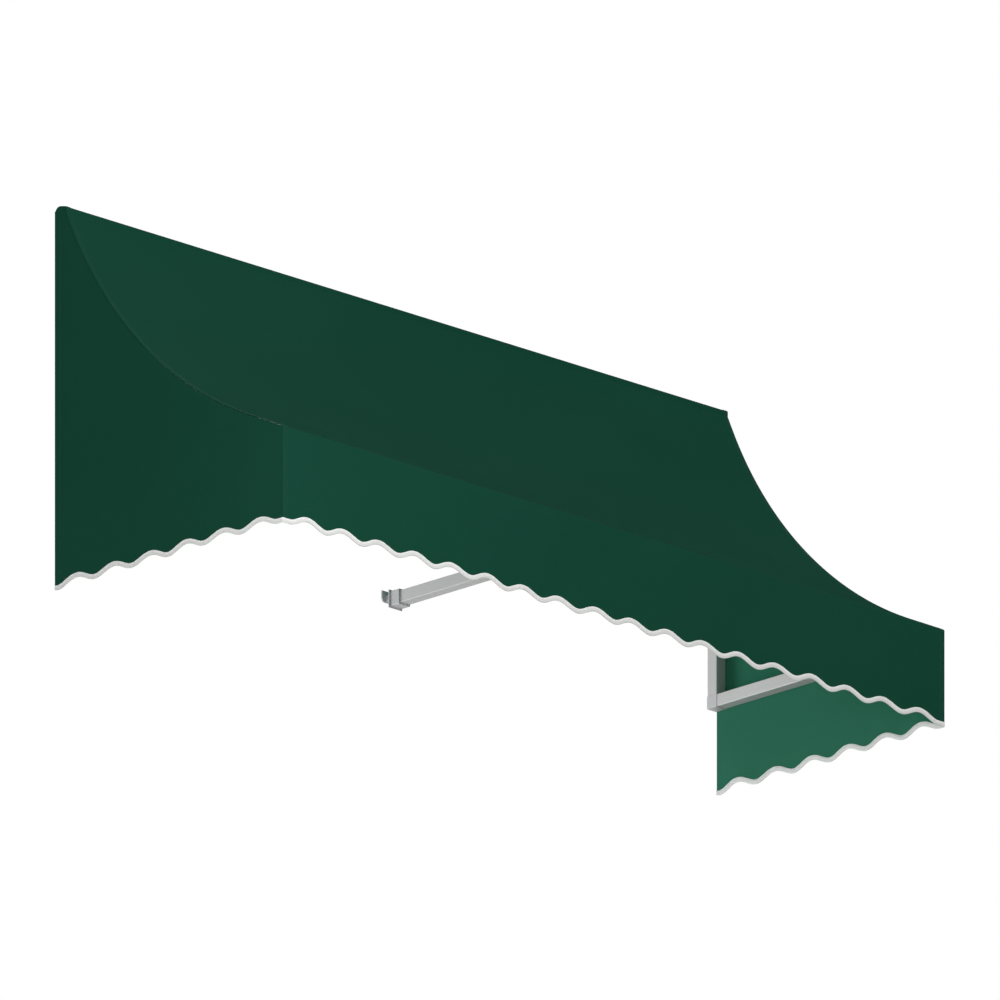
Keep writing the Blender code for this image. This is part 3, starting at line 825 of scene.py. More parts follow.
@dataclass(frozen=True)
class Hood:
    """The hood's sizes, and the shapes that its cloth pieces share.

    Attributes:
        width: Across the outer faces of the end panels.
        projection: From the wall to the valance's outer face.
        base: World height of the canopy's front edge.
        crown_height: From the front edge up to the crown.
        hem_foot: Height of the hem's lower end, behind the header.
        crown_radius: The round at the wall, over which the sheet comes to the front.
        nose_depth: How far the crown's nose stands out from the wall.
        nose_height: The nose's upright front.
        nose_fall: How much lower the nose is than the crown.
        top_slope: The steep slope's angle below level.
        front_slope: The gentle slope's angle below level.
        hollow_radius: The round between the slopes, if they have room for it.
        hollow_share: How much of the shorter slope the round may take.
        front_fold: The round at the valance's top.
        nose_fold: The rounds at the nose.
        drop: From the front edge down to the lowest scallops.
        wave_pitch: From one front scallop to the next, before it is fitted to the width.
        wave_height: From a scallop's lowest point to its highest.
        front_margin: From a front corner to the first low of the valance.
        end_pitch: From one scallop of an end panel to the next.
        end_margin: From a front corner to the first low of an end panel.
        rail_foot: Height at which the skirt starts to hang free of the tubes.
        fabric: The cloth's thickness.
        edge_room: Between a trimmed edge and the fold of its tape.
        seam_roll: The round over which the cover's side edges turn down.
        seam_ditch: How much lower than that round the end panels' top edges lie.
        ease: How far the loose skirt sways.
        folds: The sway's sines: each one's share, length, and how its phase follows the seed.
        tongue: How much of the sway a scallop's tongue adds.
        corner_hold: How far from a front corner the seams hold the skirt still.
        wall_hold: How far from the wall an end panel's skirt is held.
        lift: How far the sheet lifts between the rafters.
    """

    width: float
    projection: float
    base: float
    crown_height: float = 0.588
    hem_foot: float = 0.5549
    crown_radius: float = 0.0115
    nose_depth: float = 0.030
    nose_height: float = 0.0115
    nose_fall: float = 0.0075
    top_slope: float = math.radians(66)
    front_slope: float = math.radians(25)
    hollow_radius: float = 1.0
    hollow_share: float = 0.98
    front_fold: float = 0.0030
    nose_fold: float = 0.0020
    drop: float = 0.198
    wave_pitch: float = 0.0995
    wave_height: float = 0.0145
    front_margin: float = 0.019
    end_pitch: float = 0.1001
    end_margin: float = 0.0129
    rail_foot: float = -0.032
    fabric: float = 0.0012
    edge_room: float = 0.0018
    seam_roll: float = 0.0015
    seam_ditch: float = 0.0003
    ease: float = 0.0022
    folds: tuple[tuple[float, float, float, float], ...] = (
        (0.5, 0.47, 1.0, 0.0),
        (0.3, 0.29, 2.1, 1.0),
        (0.2, 0.173, 3.3, 0.4),
    )
    tongue: float = 0.35
    corner_hold: float = 0.09
    wall_hold: float = 0.05
    lift: float = 0.0035

    @property
    def half(self) -> float:
        """Half the width."""
        return self.width / 2

    @property
    def flat_half(self) -> float:
        """Half the width between the cover's rolled side edges."""
        return self.half - self.seam_roll

    @property
    def front_scallops(self) -> Scallops:
        """The scallops across the front, whose pitch fits a whole number of them."""
        run = self.width - 2 * self.front_margin
        return Scallops(run / round(run / self.wave_pitch), self.front_margin, self.wave_height)

    @property
    def end_scallops(self) -> Scallops:
        """The scallops along an end panel, which run out at the wall as they come."""
        return Scallops(self.end_pitch, self.end_margin, self.wave_height)

    def world(self, x: Array, d: Array, h: Array) -> Array:
        """World points from x, the distance from the wall and the height over the front edge."""
        return np.stack(np.broadcast_arrays(x, -d, self.base + h), axis=-1)

    def profile(self, step: float, inset: float = 0.0) -> Array:
        """The hood's outer line in side view, from the hem behind the header to the front fold.

        It is one chain of straight runs: up the back, over the crown, down the nose, down the
        steep slope, down the gentle slope and down the valance. The hollow is the round between
        the two slopes, with a radius that the shorter slope allows.

        Args:
            step: The distance between points, at most.
            inset: How far the line is moved inward along its normal.

        Returns:
            The points (d, h), which end where the front fold has turned into the valance.
        """
        nose_top = self.crown_height - self.nose_fall
        start = np.array([self.nose_depth, nose_top - self.nose_height])
        end = np.array([self.projection, 0.0])
        steep = np.array([math.cos(self.top_slope), -math.sin(self.top_slope)])
        gentle = np.array([math.cos(self.front_slope), -math.sin(self.front_slope)])
        runs = np.linalg.solve(np.column_stack([steep, gentle]), end - start)
        tangent = math.tan((self.top_slope - self.front_slope) / 2)
        radius = min(self.hollow_radius, self.hollow_share * float(runs.min()) / tangent)
        corners = [
            (0.0, self.hem_foot, 0.0),
            (0.0, self.crown_height, self.crown_radius),
            (self.nose_depth, nose_top, self.nose_fold),
            (*start, self.nose_fold),
            (*(start + steep * runs[0]), radius),
            (*end, self.front_fold),
            (self.projection, -2 * self.front_fold, 0.0),
        ]
        line = rounded_path(corners, step)
        return line - line_normals(line) * inset

    def sway(
        self, along: Array, from_corner: Array, h: Array, scallops: Scallops, seed: float | Array
    ) -> Array:
        """How far the loose skirt of a face stands out.

        Sines of different lengths add up to slow folds, and each scallop's tongue curls out a
        little. Both grow from nothing at the rail to their full size at the trimmed edge, and
        die away at the corners, which the seams hold.

        Args:
            along: Place along the face.
            from_corner: Distance from the nearest front corner.
            h: Height over the canopy's front edge.
            scallops: The face's scallops.
            seed: A phase that makes the faces differ.

        Returns:
            The distance outward.
        """
        loose = smooth_step(-h, -self.rail_foot, self.drop)
        held = smooth_step(from_corner, 0.0, self.corner_hold)
        waves = sum(
            share * np.sin(along * 2 * math.pi / length + factor * seed + phase)
            for share, length, factor, phase in self.folds
        )
        tongue = np.cos(scallops.turn(from_corner))
        return held * loose * self.ease * (waves + self.tongue * loose * tongue)

    def end_sway(self, d: Array, h: Array, seed: float | Array) -> Array:
        """The sway of an end panel's skirt, which the wall's hem holds as the corner's seam does."""
        sway = self.sway(d, self.projection - d, h, self.end_scallops, seed)
        return sway * smooth_step(d, 0.0, self.wall_hold)


@dataclass
class Stitches:
    """Rows of thread stitches, each a small bent bead half sunk into the cloth.

    Attributes:
        pitch: From one stitch to the next.
        length: The length of one stitch.
        radius: The thread's radius.
        look: How far to each side of a stitch its line's direction is read.
        rings: A bead's rings: place along it by the length, rise and size by the radius.
        sides: How many corners a ring has.
        lines: What has been added: each row's middles, directions and normals.
    """

    pitch: float = 0.0042
    length: float = 0.0032
    radius: float = 0.00035
    look: float = 0.001
    rings: tuple[tuple[float, float, float], ...] = (
        (-0.50, -0.6, 0.45),
        (-0.30, 0.35, 1.0),
        (0.30, 0.35, 1.0),
        (0.50, -0.6, 0.45),
    )
    sides: int = 5
    lines: list[tuple[Array, Array, Array]] = field(default_factory=list)

    def run(self, points: Array, normals: Array) -> None:
        """Adds a row of stitches along a line.

        Args:
            points: The line's points, close together.
            normals: The cloth's unit normal at each of them.
        """
        way = travelled(points)
        count = int(way[-1] / self.pitch)
        at = (np.arange(count) + 0.5) * way[-1] / count
        ahead, behind = (sampled(points, way, at + off) for off in (self.look, -self.look))
        self.lines.append((sampled(points, way, at), ahead - behind, sampled(normals, way, at)))

    def build(self, name: str, finish: Thread) -> bpy.types.Object:
        """Makes one piece of all the rows.

        A point of a stitch is its middle, plus the thread's direction times the ring's place
        along it, plus the cloth's normal times the ring's rise, plus a circle round that.

        Args:
            name: The piece's name.
            finish: The thread's finish.

        Returns:
            The new object.
        """
        middles, along, up = (np.concatenate(part)[:, None, None] for part in zip(*self.lines))
        along = unit(along)
        aside = unit(np.cross(up, along))
        up = np.cross(along, aside)
        place, rise, size = (column[:, None, None] for column in np.array(self.rings).T)
        turn = (np.arange(self.sides) * 2 * math.pi / self.sides)[:, None]
        points = middles + place * self.length * along
        points = points + size * self.radius * np.sin(turn) * aside
        points = points + (rise + size * np.cos(turn)) * self.radius * up
        index = np.arange(points.size // 3).reshape(points.shape[:3])
        after = np.roll(index, -1, axis=2)
        corners = [after[:, :-1], index[:, :-1], index[:, 1:], after[:, 1:]]
        walls = np.stack(corners, axis=-1).reshape(-1, 4)
        piece = new_piece(name, points.reshape(-1, 3), [walls, index[:, 0], index[:, -1, ::-1]])
        piece.data.materials.append(finish.material())
        return piece


@dataclass
class Cover:
    """Top sheet and valance: one piece of canvas from the hem behind the header to the edge.

    Attributes:
        hood: The hood that it belongs to.
        step: The grid's step across the awning and down the slope.
        valance_rows: Rows of points down the valance.
        roll_columns: Columns of points over each rolled side edge.
        band: Width of the doubled strip along each side seam.
        band_rise: How far the strip stands up.
        band_columns: Where columns stand beside the strip's inner edge, inward.
        seams: Where the two rows of stitches run, inward from the rolled edge.
        rafter_half: How far from the middle of a rafter the sheet lies still.
        sway_seed: The phase of the valance's sway.
        name: The piece's name.
    """

    hood: Hood
    step: float = 0.0075
    valance_rows: int = 24
    roll_columns: int = 5
    band: float = 0.012
    band_rise: float = 0.0005
    band_columns: tuple[float, ...] = (0.003, 0.0012, 0.0, -0.0012, -0.006)
    seams: Span = (0.0035, 0.0100)
    rafter_half: float = 0.016
    sway_seed: float = 0.7
    name: str = "canopy_cover"

    def columns(self) -> tuple[Array, Array]:
        """Places across the awning, and how far each column turns down over the side seam.

        The sheet's side edges roll over by a quarter turn of the seam's radius r: at the angle a
        the column stands at half width − r + r·sin a, and lies r·(1 − cos a) lower.

        Returns:
            The x of each column and its fall along the inward normal.
        """
        hood = self.hood
        edge = hood.flat_half - (self.band + np.array(self.band_columns))
        count = math.ceil(2 * edge[0] / self.step)
        middle = np.linspace(-edge[0], edge[0], count + 1)
        angle = np.linspace(0, math.pi / 2, self.roll_columns)
        right = np.concatenate([edge[1:], hood.flat_half + hood.seam_roll * np.sin(angle)])
        over = hood.seam_roll * (1 - np.cos(angle))
        x = np.concatenate([-right[::-1], middle, right])
        fall = np.concatenate([over[::-1], np.zeros(len(x) - 2 * len(over)), over])
        return x, fall

    def raised(self, x: Array) -> Array:
        """How far the doubled strips along the side seams stand up."""
        edge = self.hood.flat_half - self.band
        return self.band_rise * smooth_step(np.abs(x), edge - HEM_EDGE, edge + HEM_EDGE)

    def crown_start(self) -> float:
        """Length of the sheet's hem behind the header, which lies flat on the wall."""
        return self.hood.crown_height - self.hood.hem_foot

    def slack(self, x: Array, s: Array, length: float) -> Array:
        """How far the sheet, drawn tight over its hollow, lifts between the rafters.

        It is a raised cosine from rafter to rafter times a squared sine down the slope.

        Args:
            x: Place across.
            s: Distance down the slope from the nose.
            length: The slope's whole length.

        Returns:
            The distance along the outward normal.
        """
        hood = self.hood
        bay = np.clip((np.abs(x) - self.rafter_half) / (hood.half - 3 * self.rafter_half), 0, 1)
        share = np.clip(s / length, 0, 1)
        return hood.lift * (1 - np.cos(2 * math.pi * bay)) / 2 * np.sin(math.pi * share) ** 2

    def grid(self) -> tuple[Array, Array]:
        """The outer skin's grid of world points, and its cloth map.

        Down to the front fold, a point is the profile's, moved along the profile's normal by the
        slack and the strip's rise, less the fall of the rolled edge. Below the fold, the rows
        divide the height over the trimmed edge evenly, and the skirt sways.

        Returns:
            The points and their places on the flat cloth.
        """
        hood = self.hood
        line = hood.profile(self.step)
        x, fall = self.columns()
        s = travelled(line)
        out = line_normals(line)
        out[-1] = (1.0, 0.0)
        nose = int(np.argmax(line[:, 0] > hood.nose_depth + hood.nose_fold))
        slack = self.slack(x, s[:, None] - s[nose], s[-1] - s[nose])
        in_front = smooth_step(s, self.crown_start(), self.crown_start() + self.band)
        off = slack + self.raised(x) * in_front[:, None] - fall
        d = line[:, :1] + out[:, :1] * off
        h = line[:, 1:] + out[:, 1:] * off
        share = np.arange(1, self.valance_rows + 1)[:, None] / self.valance_rows
        from_corner, scallops = hood.half - np.abs(x), hood.front_scallops
        low = scallops.rise(from_corner) - hood.drop + hood.edge_room
        h_low = line[-1, 1] + share * (low - line[-1, 1])
        sway = hood.sway(x, from_corner, h_low, scallops, self.sway_seed)
        d_low = hood.projection + sway + self.raised(x) - fall
        points = hood.world(x, np.vstack([d, d_low]), np.vstack([h, h_low]))
        down = np.vstack([np.broadcast_to(s[:, None], d.shape), s[-1] + line[-1, 1] - h_low])
        maps = np.stack(np.broadcast_arrays(x, down), axis=-1)
        return points, maps

    @staticmethod
    def outward(points: Array) -> Array:
        """Unit normals of the skin's grid, turned so that the valance faces the street."""
        normals = grid_normals(points)
        return normals if normals[-1, normals.shape[1] // 2, 1] < 0 else -normals

    def build(self, skins: Skins) -> bpy.types.Object:
        """Makes the piece.

        Args:
            skins: The materials of its outer and inner skin.

        Returns:
            The new object.
        """
        points, maps = self.grid()
        normals = self.outward(points)
        return sheet_piece(self.name, points, maps, self.hood.fabric, normals, skins)

    def seam_rows(self, stitches: Stitches) -> None:
        """Adds the two rows of stitches along each side seam, read from the sheet's own grid.

        They start where the strip has come up over the crown.

        Args:
            stitches: What the rows are added to.
        """
        points, _ = self.grid()
        normals = self.outward(points)
        x, _ = self.columns()
        first = math.ceil((self.crown_start() + self.band) / self.step) + 1
        for inset in self.seams:
            for side in Side:
                target = side.value * (self.hood.flat_half - inset)
                column = int(np.argmin(np.abs(x - target)))
                row = points[:, column].copy()
                row[:, 0] = target
                stitches.run(row[first:-1], normals[first:-1, column])


# The phase of each end panel's sway.
SKIRT_SEEDS = {Side.LEFT: 1.9, Side.RIGHT: 4.2}


@dataclass
class EndPanel:
    """A flat canvas end, from the canopy's line down to the trimmed edge.

    Attributes:
        hood: The hood that it belongs to.
        side: Which of the two ends it is.
        step: The step of the rows up the canopy's line.
        columns: How many points a row has.
        skirt_rows: Rows of points below the front edge.
        cap_rows: Rows of points beside the nose.
        back_hem: Width of the hem along the wall.
        hem_rise: How far the hem stands up.
        hem_seam: From the hem's edge to its stitches.
        seam_foot: From the lowest scallops up to the hem's first stitch.
        seam_points: How many points the hem's line of stitches is read from.
        billow: How far the cloth sinks in where no tube backs it.
        from_wall: Where that hollow starts and is full, out from the wall.
        from_arm: The same, up from the front edge.
        line_share: The upper line of that hollow, as a share of the steep slope's distance
            from the wall.
        line_offset: How far out from that line the hollow ends.
        line_fade: Over which length it ends.
    """

    hood: Hood
    side: Side
    step: float = 0.009
    columns: int = 104
    skirt_rows: int = 24
    cap_rows: int = 5
    back_hem: float = 0.018
    hem_rise: float = 0.0005
    hem_seam: float = 0.003
    seam_foot: float = 0.03
    seam_points: int = 240
    billow: float = 0.0018
    from_wall: Span = (0.03, 0.20)
    from_arm: Span = (0.0, 0.10)
    line_share: float = 0.9
    line_offset: float = 0.16
    line_fade: float = 0.15

    @property
    def name(self) -> str:
        """The piece's name."""
        return f"end_cloth_{self.side.word}"

    def place(self, d: Array, h: Array) -> Array:
        """World points of the panel's outer face.

        The face is a plane, with the hem along the wall standing up a little, the skirt swaying
        below the arm, and a shallow hollow where no tube backs the cloth.

        Args:
            d: Distances from the wall.
            h: Heights over the canopy's front edge.

        Returns:
            The points.
        """
        hood = self.hood
        line = self.line_share * (hood.crown_height - h) / math.tan(hood.top_slope)
        hollow = smooth_step(d, *self.from_wall) * smooth_step(h, *self.from_arm)
        hollow = hollow * smooth_step(line + self.line_offset - d, 0.0, self.line_fade)
        hem = smooth_step(-d, -self.back_hem - HEM_EDGE, HEM_EDGE - self.back_hem)
        out = hood.end_sway(d, h, SKIRT_SEEDS[self.side])
        out = out - self.billow * hollow + self.hem_rise * hem
        return hood.world(self.side.value * (hood.half + out), d, h)

    def outward(self, points: Array) -> Array:
        """The plane's unit normal at each point."""
        return np.broadcast_to([float(self.side.value), 0.0, 0.0], points.shape)

    def grid(self) -> tuple[Array, Array]:
        """The outer skin's grid, whose rows run from the front to the wall.

        Up to the front fold, the rows divide the height over the trimmed edge evenly. From there
        a row starts at each point of the canopy's line and runs level. Beside the nose, whose
        front is upright, the last rows rise by equal shares to the crown's own line, which
        starts on the wall plane.

        Returns:
            The points and their places on the flat cloth.
        """
        hood = self.hood
        inset = hood.seam_roll + hood.seam_ditch
        line = hood.profile(self.step, inset)
        nose = int(np.argmax(line[:, 0] > hood.nose_depth - inset - CLOSE))
        over = line[: nose + 1]
        crown_foot = hood.crown_height - hood.crown_radius
        crown = np.vstack([[0.0, crown_foot], over[over[:, 0] > inset + CLOSE]])
        nose_foot = hood.crown_height - hood.nose_fall - hood.nose_height
        last = np.array([hood.nose_depth - inset, (nose_foot + crown_foot) / 2])
        slope = line[nose:][::-1]
        front = np.vstack([slope[slope[:, 1] < last[1]], last])
        level_d = front[:, :1] * np.linspace(1, 0, self.columns)
        level_h = np.broadcast_to(front[:, 1:], level_d.shape)
        low = hood.end_scallops.rise(hood.projection - level_d[0]) - hood.drop + hood.edge_room
        share = np.arange(self.skirt_rows)[:, None] / self.skirt_rows
        skirt = low + share * (level_h[0] - low)
        top = np.interp(level_d[-1], crown[:, 0], crown[:, 1])
        share = np.arange(1, self.cap_rows + 1)[:, None] / self.cap_rows
        cap = level_h[-1] + share * (top - level_h[-1])
        h = np.vstack([skirt, level_h, cap])
        repeats = np.r_[np.zeros(len(skirt), int), np.arange(len(front)), np.full(len(cap), -1)]
        d = level_d[repeats]
        return self.place(d, h), np.stack([d, h], axis=-1)

    def build(self, skins: Skins) -> bpy.types.Object:
        """Makes the piece.

        Args:
            skins: The materials of its outer and inner skin.

        Returns:
            The new object.
        """
        points, maps = self.grid()
        normals = self.outward(points)
        return sheet_piece(self.name, points, maps, self.hood.fabric, normals, skins)

    def seam_rows(self, stitches: Stitches) -> None:
        """Adds the row of stitches that holds the hem along the wall.

        Args:
            stitches: What the row is added to.
        """
        h = np.linspace(self.seam_foot - self.hood.drop, self.hood.hem_foot, self.seam_points)
        points = self.place(np.full(len(h), self.back_hem - self.hem_seam), h)
        stitches.run(points, self.outward(points))


@dataclass(frozen=True)
class Route:
    """Stations along the trimmed edge, round three faces of the hood.

    Attributes:
        plan: Each station's place seen from above, as (x, d).
        out: Its unit direction to the outside, seen from above.
        height: Its height over the canopy's front edge.
        lean: The tape's unit direction up the cloth, as (along the edge, up).
    """

    plan: Array
    out: Array
    height: Array
    lean: Array

    def world(self, hood: Hood, out: Array, up: Array) -> Array:
        """World points beside the stations.

        A point is the station, plus the outward direction times its out, plus its up times the
        tape's own direction up the cloth, which is square to the wavy edge.

        Args:
            hood: The hood, which knows the world's axes.
            out: How far out each point is, with one row for each station or one for all.
            up: How far up the tape, in the same layout.

        Returns:
            The points, with one row for each station.
        """
        along = np.stack([self.out[:, 1], -self.out[:, 0]], axis=1)
        flat = self.plan[:, None] + self.out[:, None] * out[..., None]
        flat = flat + along[:, None] * (up * self.lean[:, :1])[..., None]
        return hood.world(flat[..., 0], flat[..., 1], self.height[:, None] + up * self.lean[:, 1:])


@dataclass
class EdgeBinding:
    """The white tape folded over the trimmed edge, round both front corners, in one piece.

    Attributes:
        hood: The hood that it trims.
        height: How far each leg reaches up the cloth.
        leg: The tape's thickness.
        room: Between the cloth and the tape.
        fold: Height of the folded bottom.
        levels: Heights of the points between a leg's lip and the fold.
        step: From one station to the next.
        corner: The round at the hood's two front corners.
        lean_run: Over which length from a corner or an end the tape starts to lean.
        pucker: How far the stitches draw a leg in and out.
        pucker_pitch: From one pucker to the next, which is four stitches.
        pucker_rise: The heights at which a pucker starts and is full.
        seam: From a leg's lip down to its stitches.
        seam_ends: How many stations at each end have no stitches.
        sharp: The shading stops at an edge that turns more than this.
        name: The piece's name.
    """

    hood: Hood
    height: float = 0.0093
    leg: float = 0.0006
    room: float = 0.0003
    fold: float = 0.0016
    levels: Span = (0.0075, 0.005)
    step: float = 0.0030
    corner: float = 0.0015
    lean_run: float = 0.014
    pucker: float = 0.00018
    pucker_pitch: float = 0.0168
    pucker_rise: Span = (0.004, 0.0075)
    seam: float = 0.0025
    seam_ends: int = 3
    sharp: float = math.radians(60)
    name: str = "edge_tape"

    def section(self) -> Array:
        """The tape's closed section, as (out, up) from the cloth's outer face and the fold.

        It is a U: down the outer leg, round the fold by half an ellipse, up the inner leg, and
        back inside at the distance of the tape's thickness. Both legs' lips are rounded.

        Returns:
            The section's points.
        """
        reach, middle = self.hood.fabric / 2 + self.room, -self.hood.fabric / 2
        outer, half = reach + self.leg, self.leg / 2
        down = np.array([self.height, *self.levels])
        bend = np.linspace(0, math.pi, 9)
        back = bend[::-1]
        lip = np.linspace(0, math.pi, 4)[2:0:-1]

        def straight(out: float, heights: Array) -> Array:
            """Points of a leg's straight face at the given heights."""
            return np.column_stack([np.full(len(heights), middle + out), heights])

        def rounded(way: int) -> Array:
            """The rounded lip of the leg to that way of the cloth."""
            centre = middle + way * (outer + reach) / 2
            return np.column_stack([centre + half * np.cos(lip), self.height + half * np.sin(lip)])

        bowl = [middle + outer * np.cos(bend), self.fold * (1 - np.sin(bend))]
        hollow = self.fold * (1 - np.sin(back)) + self.leg * np.sin(back)
        inside = [middle + reach * np.cos(back), hollow]
        outside_half = [straight(outer, down), np.column_stack(bowl), straight(-outer, down[::-1])]
        inside_half = [straight(-reach, down), np.column_stack(inside), straight(reach, down[::-1])]
        return np.vstack([*outside_half, rounded(-1), *inside_half, rounded(1)])

    def route(self) -> Route:
        """The stations of the tape.

        Seen from above, the route is a chain of three runs with small rounds at the two corners.
        The height at a station is the trimmed edge's, by its distance from the nearest corner,
        and the tape leans as that edge slopes.

        Returns:
            The stations, from the left end at the wall to the right one.
        """
        hood = self.hood
        half, front = hood.half, hood.projection
        corners = [(-half, 0.0, 0.0), (-half, front, self.corner), (half, front, self.corner)]
        plan = rounded_path([*corners, (half, 0.0, 0.0)], self.step)
        out = line_normals(plan)
        x, d = plan.T
        on_front = np.abs(out[:, 1]) > np.abs(out[:, 0])
        from_corner = np.where(on_front, half - np.abs(x), front - d)
        fronts, ends = hood.front_scallops, hood.end_scallops
        rise = np.where(on_front, fronts.rise(from_corner), ends.rise(from_corner))
        height = rise - hood.drop
        sway_front = hood.sway(x, from_corner, height, fronts, Cover.sway_seed)
        seed = np.where(x < 0, SKIRT_SEEDS[Side.LEFT], SKIRT_SEEDS[Side.RIGHT])
        sway = np.where(on_front, sway_front, hood.end_sway(d, height, seed))
        plan = plan + out * sway[:, None]
        way = travelled(plan)
        free = np.minimum(from_corner, np.minimum(way, way[-1] - way))
        lean = np.gradient(height, way) * smooth_step(free, 0.0, self.lean_run)
        return Route(plan, out, height, unit(np.stack([-lean, np.ones_like(lean)], axis=1)))

    def grid(self) -> tuple[Array, Array]:
        """The tape's points, one row for each station, and their places on the flat tape.

        The section stands at every station. Both legs are drawn in and out a little, by a cosine
        of the distance along the tape, as stitches draw it.

        Returns:
            The points and the map.
        """
        route, section = self.route(), self.section()
        way = travelled(np.column_stack([route.plan, route.height]))[:, None]
        outs, ups = section.T[:, None]
        legs = smooth_step(ups, *self.pucker_rise) * np.sign(outs + self.hood.fabric / 2)
        gather = np.cos(2 * math.pi * way / self.pucker_pitch) * self.pucker
        points = route.world(self.hood, outs + gather * legs, ups)
        round_it = travelled(np.vstack([section, section[:1]]))[:-1]
        return points, np.stack(np.broadcast_arrays(way, round_it), axis=-1)

    def build(self, finish: Tape) -> bpy.types.Object:
        """Makes the piece.

        Args:
            finish: The tape's finish.

        Returns:
            The new object.
        """
        points, maps = self.grid()
        index, walls = tube_faces(*points.shape[:2])
        faces = [walls, index[:1, ::-1], index[-1:]]
        piece = new_piece(self.name, points.reshape(-1, 3), faces, maps.reshape(-1, 2))
        piece.data.set_sharp_from_angle(angle=self.sharp)
        piece.data.materials.append(finish.material())
        return piece

    def seam_rows(self, stitches: Stitches) -> None:
        """Adds a row of stitches on each leg of the tape, which go through both.

        Args:
            stitches: What the rows are added to.
        """
        route = self.route()
        up = np.array([[self.height - self.seam]])
        reach = self.hood.fabric / 2 + self.room + self.leg
        stitched = slice(self.seam_ends, -self.seam_ends)
        for way in (1.0, -1.0):
            out = np.array([[way * reach - self.hood.fabric / 2]])
            points = route.world(self.hood, out, up)[:, 0]
            level = np.zeros(len(points))
            normals = way * np.stack([route.out[:, 0], -route.out[:, 1], level], axis=1)
            stitches.run(points[stitched], normals[stitched])


@dataclass
class TubeFrame:
    """The frame's own pieces, which keep their shape and get their finishes.

    Attributes:
        bright: The colour of the drawn tube.
        cast: The colour of the castings.
        plated: The colour of the screws.
    """

    bright: Colour = (0.58, 0.58, 0.58)
    cast: Colour = (0.56, 0.56, 0.57)
    plated: Colour = (0.66, 0.66, 0.65)

    def finishes(self) -> dict[str, Metal | Moulding]:
        """The finish of each group of nodes.

        Returns:
            The finishes, by how the nodes' names start.
        """
        tubes = {
            "header_rail": Grain.ALONG_X,
            "front_rail": Grain.ALONG_X,
            "rafter_": Grain.ALONG_BEND,
            "post_left": Grain.ALONG_Z,
            "post_right": Grain.ALONG_Z,
            "arm_left": Grain.ALONG_Y,
            "arm_centre": Grain.ALONG_Y,
            "arm_right": Grain.ALONG_Y,
        }
        found: dict[str, Metal | Moulding] = {
            start: Metal(f"tube_{start.strip('_')}", self.bright, grain.value)
            for start, grain in tubes.items()
        }
        casting = Metal("casting", self.cast, pattern=1500.0, relief=0.00012)
        screw = Metal("plated_screw", self.plated, roughness=0.27, metallic=0.95, pattern=2500.0)
        for start in ("corner_block", "centre_bracket", "rail_spigot", "header_angle"):
            found[start] = casting
        for start in ("post_screw", "arm_screw", "spigot_screw", "rail_bolt", "header_screw"):
            found[start] = screw
        for start in ("header_plug", "rail_plug"):
            found[start] = Moulding()
        return found

    def dress(self, nodes: dict[str, bpy.types.Object]) -> None:
        """Gives each node of the frame the finish of its group.

        Args:
            nodes: The frame's nodes by name.
        """
        for start, finish in self.finishes().items():
            material = finish.material()
            named = [name for name in nodes if name.startswith(start)]
            for name in named:
                for slot in nodes[name].material_slots:
                    slot.material = material
            log.info("%s: %d pieces in %s", start, len(named), material.name)


@dataclass(frozen=True)
class Softbox:
    """A large square lamp that faces the awning.

    Attributes:
        name: The lamp's name.
        azimuth: From the street side, positive to the right, in degrees.
        elevation: Above the horizon, in degrees.
        distance: From the awning's middle.
        size: The side of the square.
        power: In watts.
    """

    name: str
    azimuth: float
    elevation: float
    distance: float
    size: float
    power: float


def direction(azimuth: float, elevation: float) -> Vector:
    """The unit vector from the awning towards a place given by its azimuth and elevation."""
    a, e = math.radians(azimuth), math.radians(elevation)
    return Vector((math.sin(a) * math.cos(e), -math.cos(a) * math.cos(e), math.sin(e)))


def aimed(
    name: str, data: bpy.types.ID, middle: Vector, back: Vector, distance: float
) -> bpy.types.Object:
    """A camera or lamp that looks at a point.

    Args:
        name: The new object's name.
        data: Its camera or lamp.
        middle: The point that it looks at.
        back: The unit vector from there to the object.
        distance: How far away it stands.

    Returns:
        The object.
    """
    thing = bpy.data.objects.new(name, data)
    thing.location = middle + back * distance
    thing.rotation_mode = "QUATERNION"
    thing.rotation_quaternion = (-back).to_track_quat("-Z", "Y")
    bpy.context.scene.collection.objects.link(thing)
    return thing


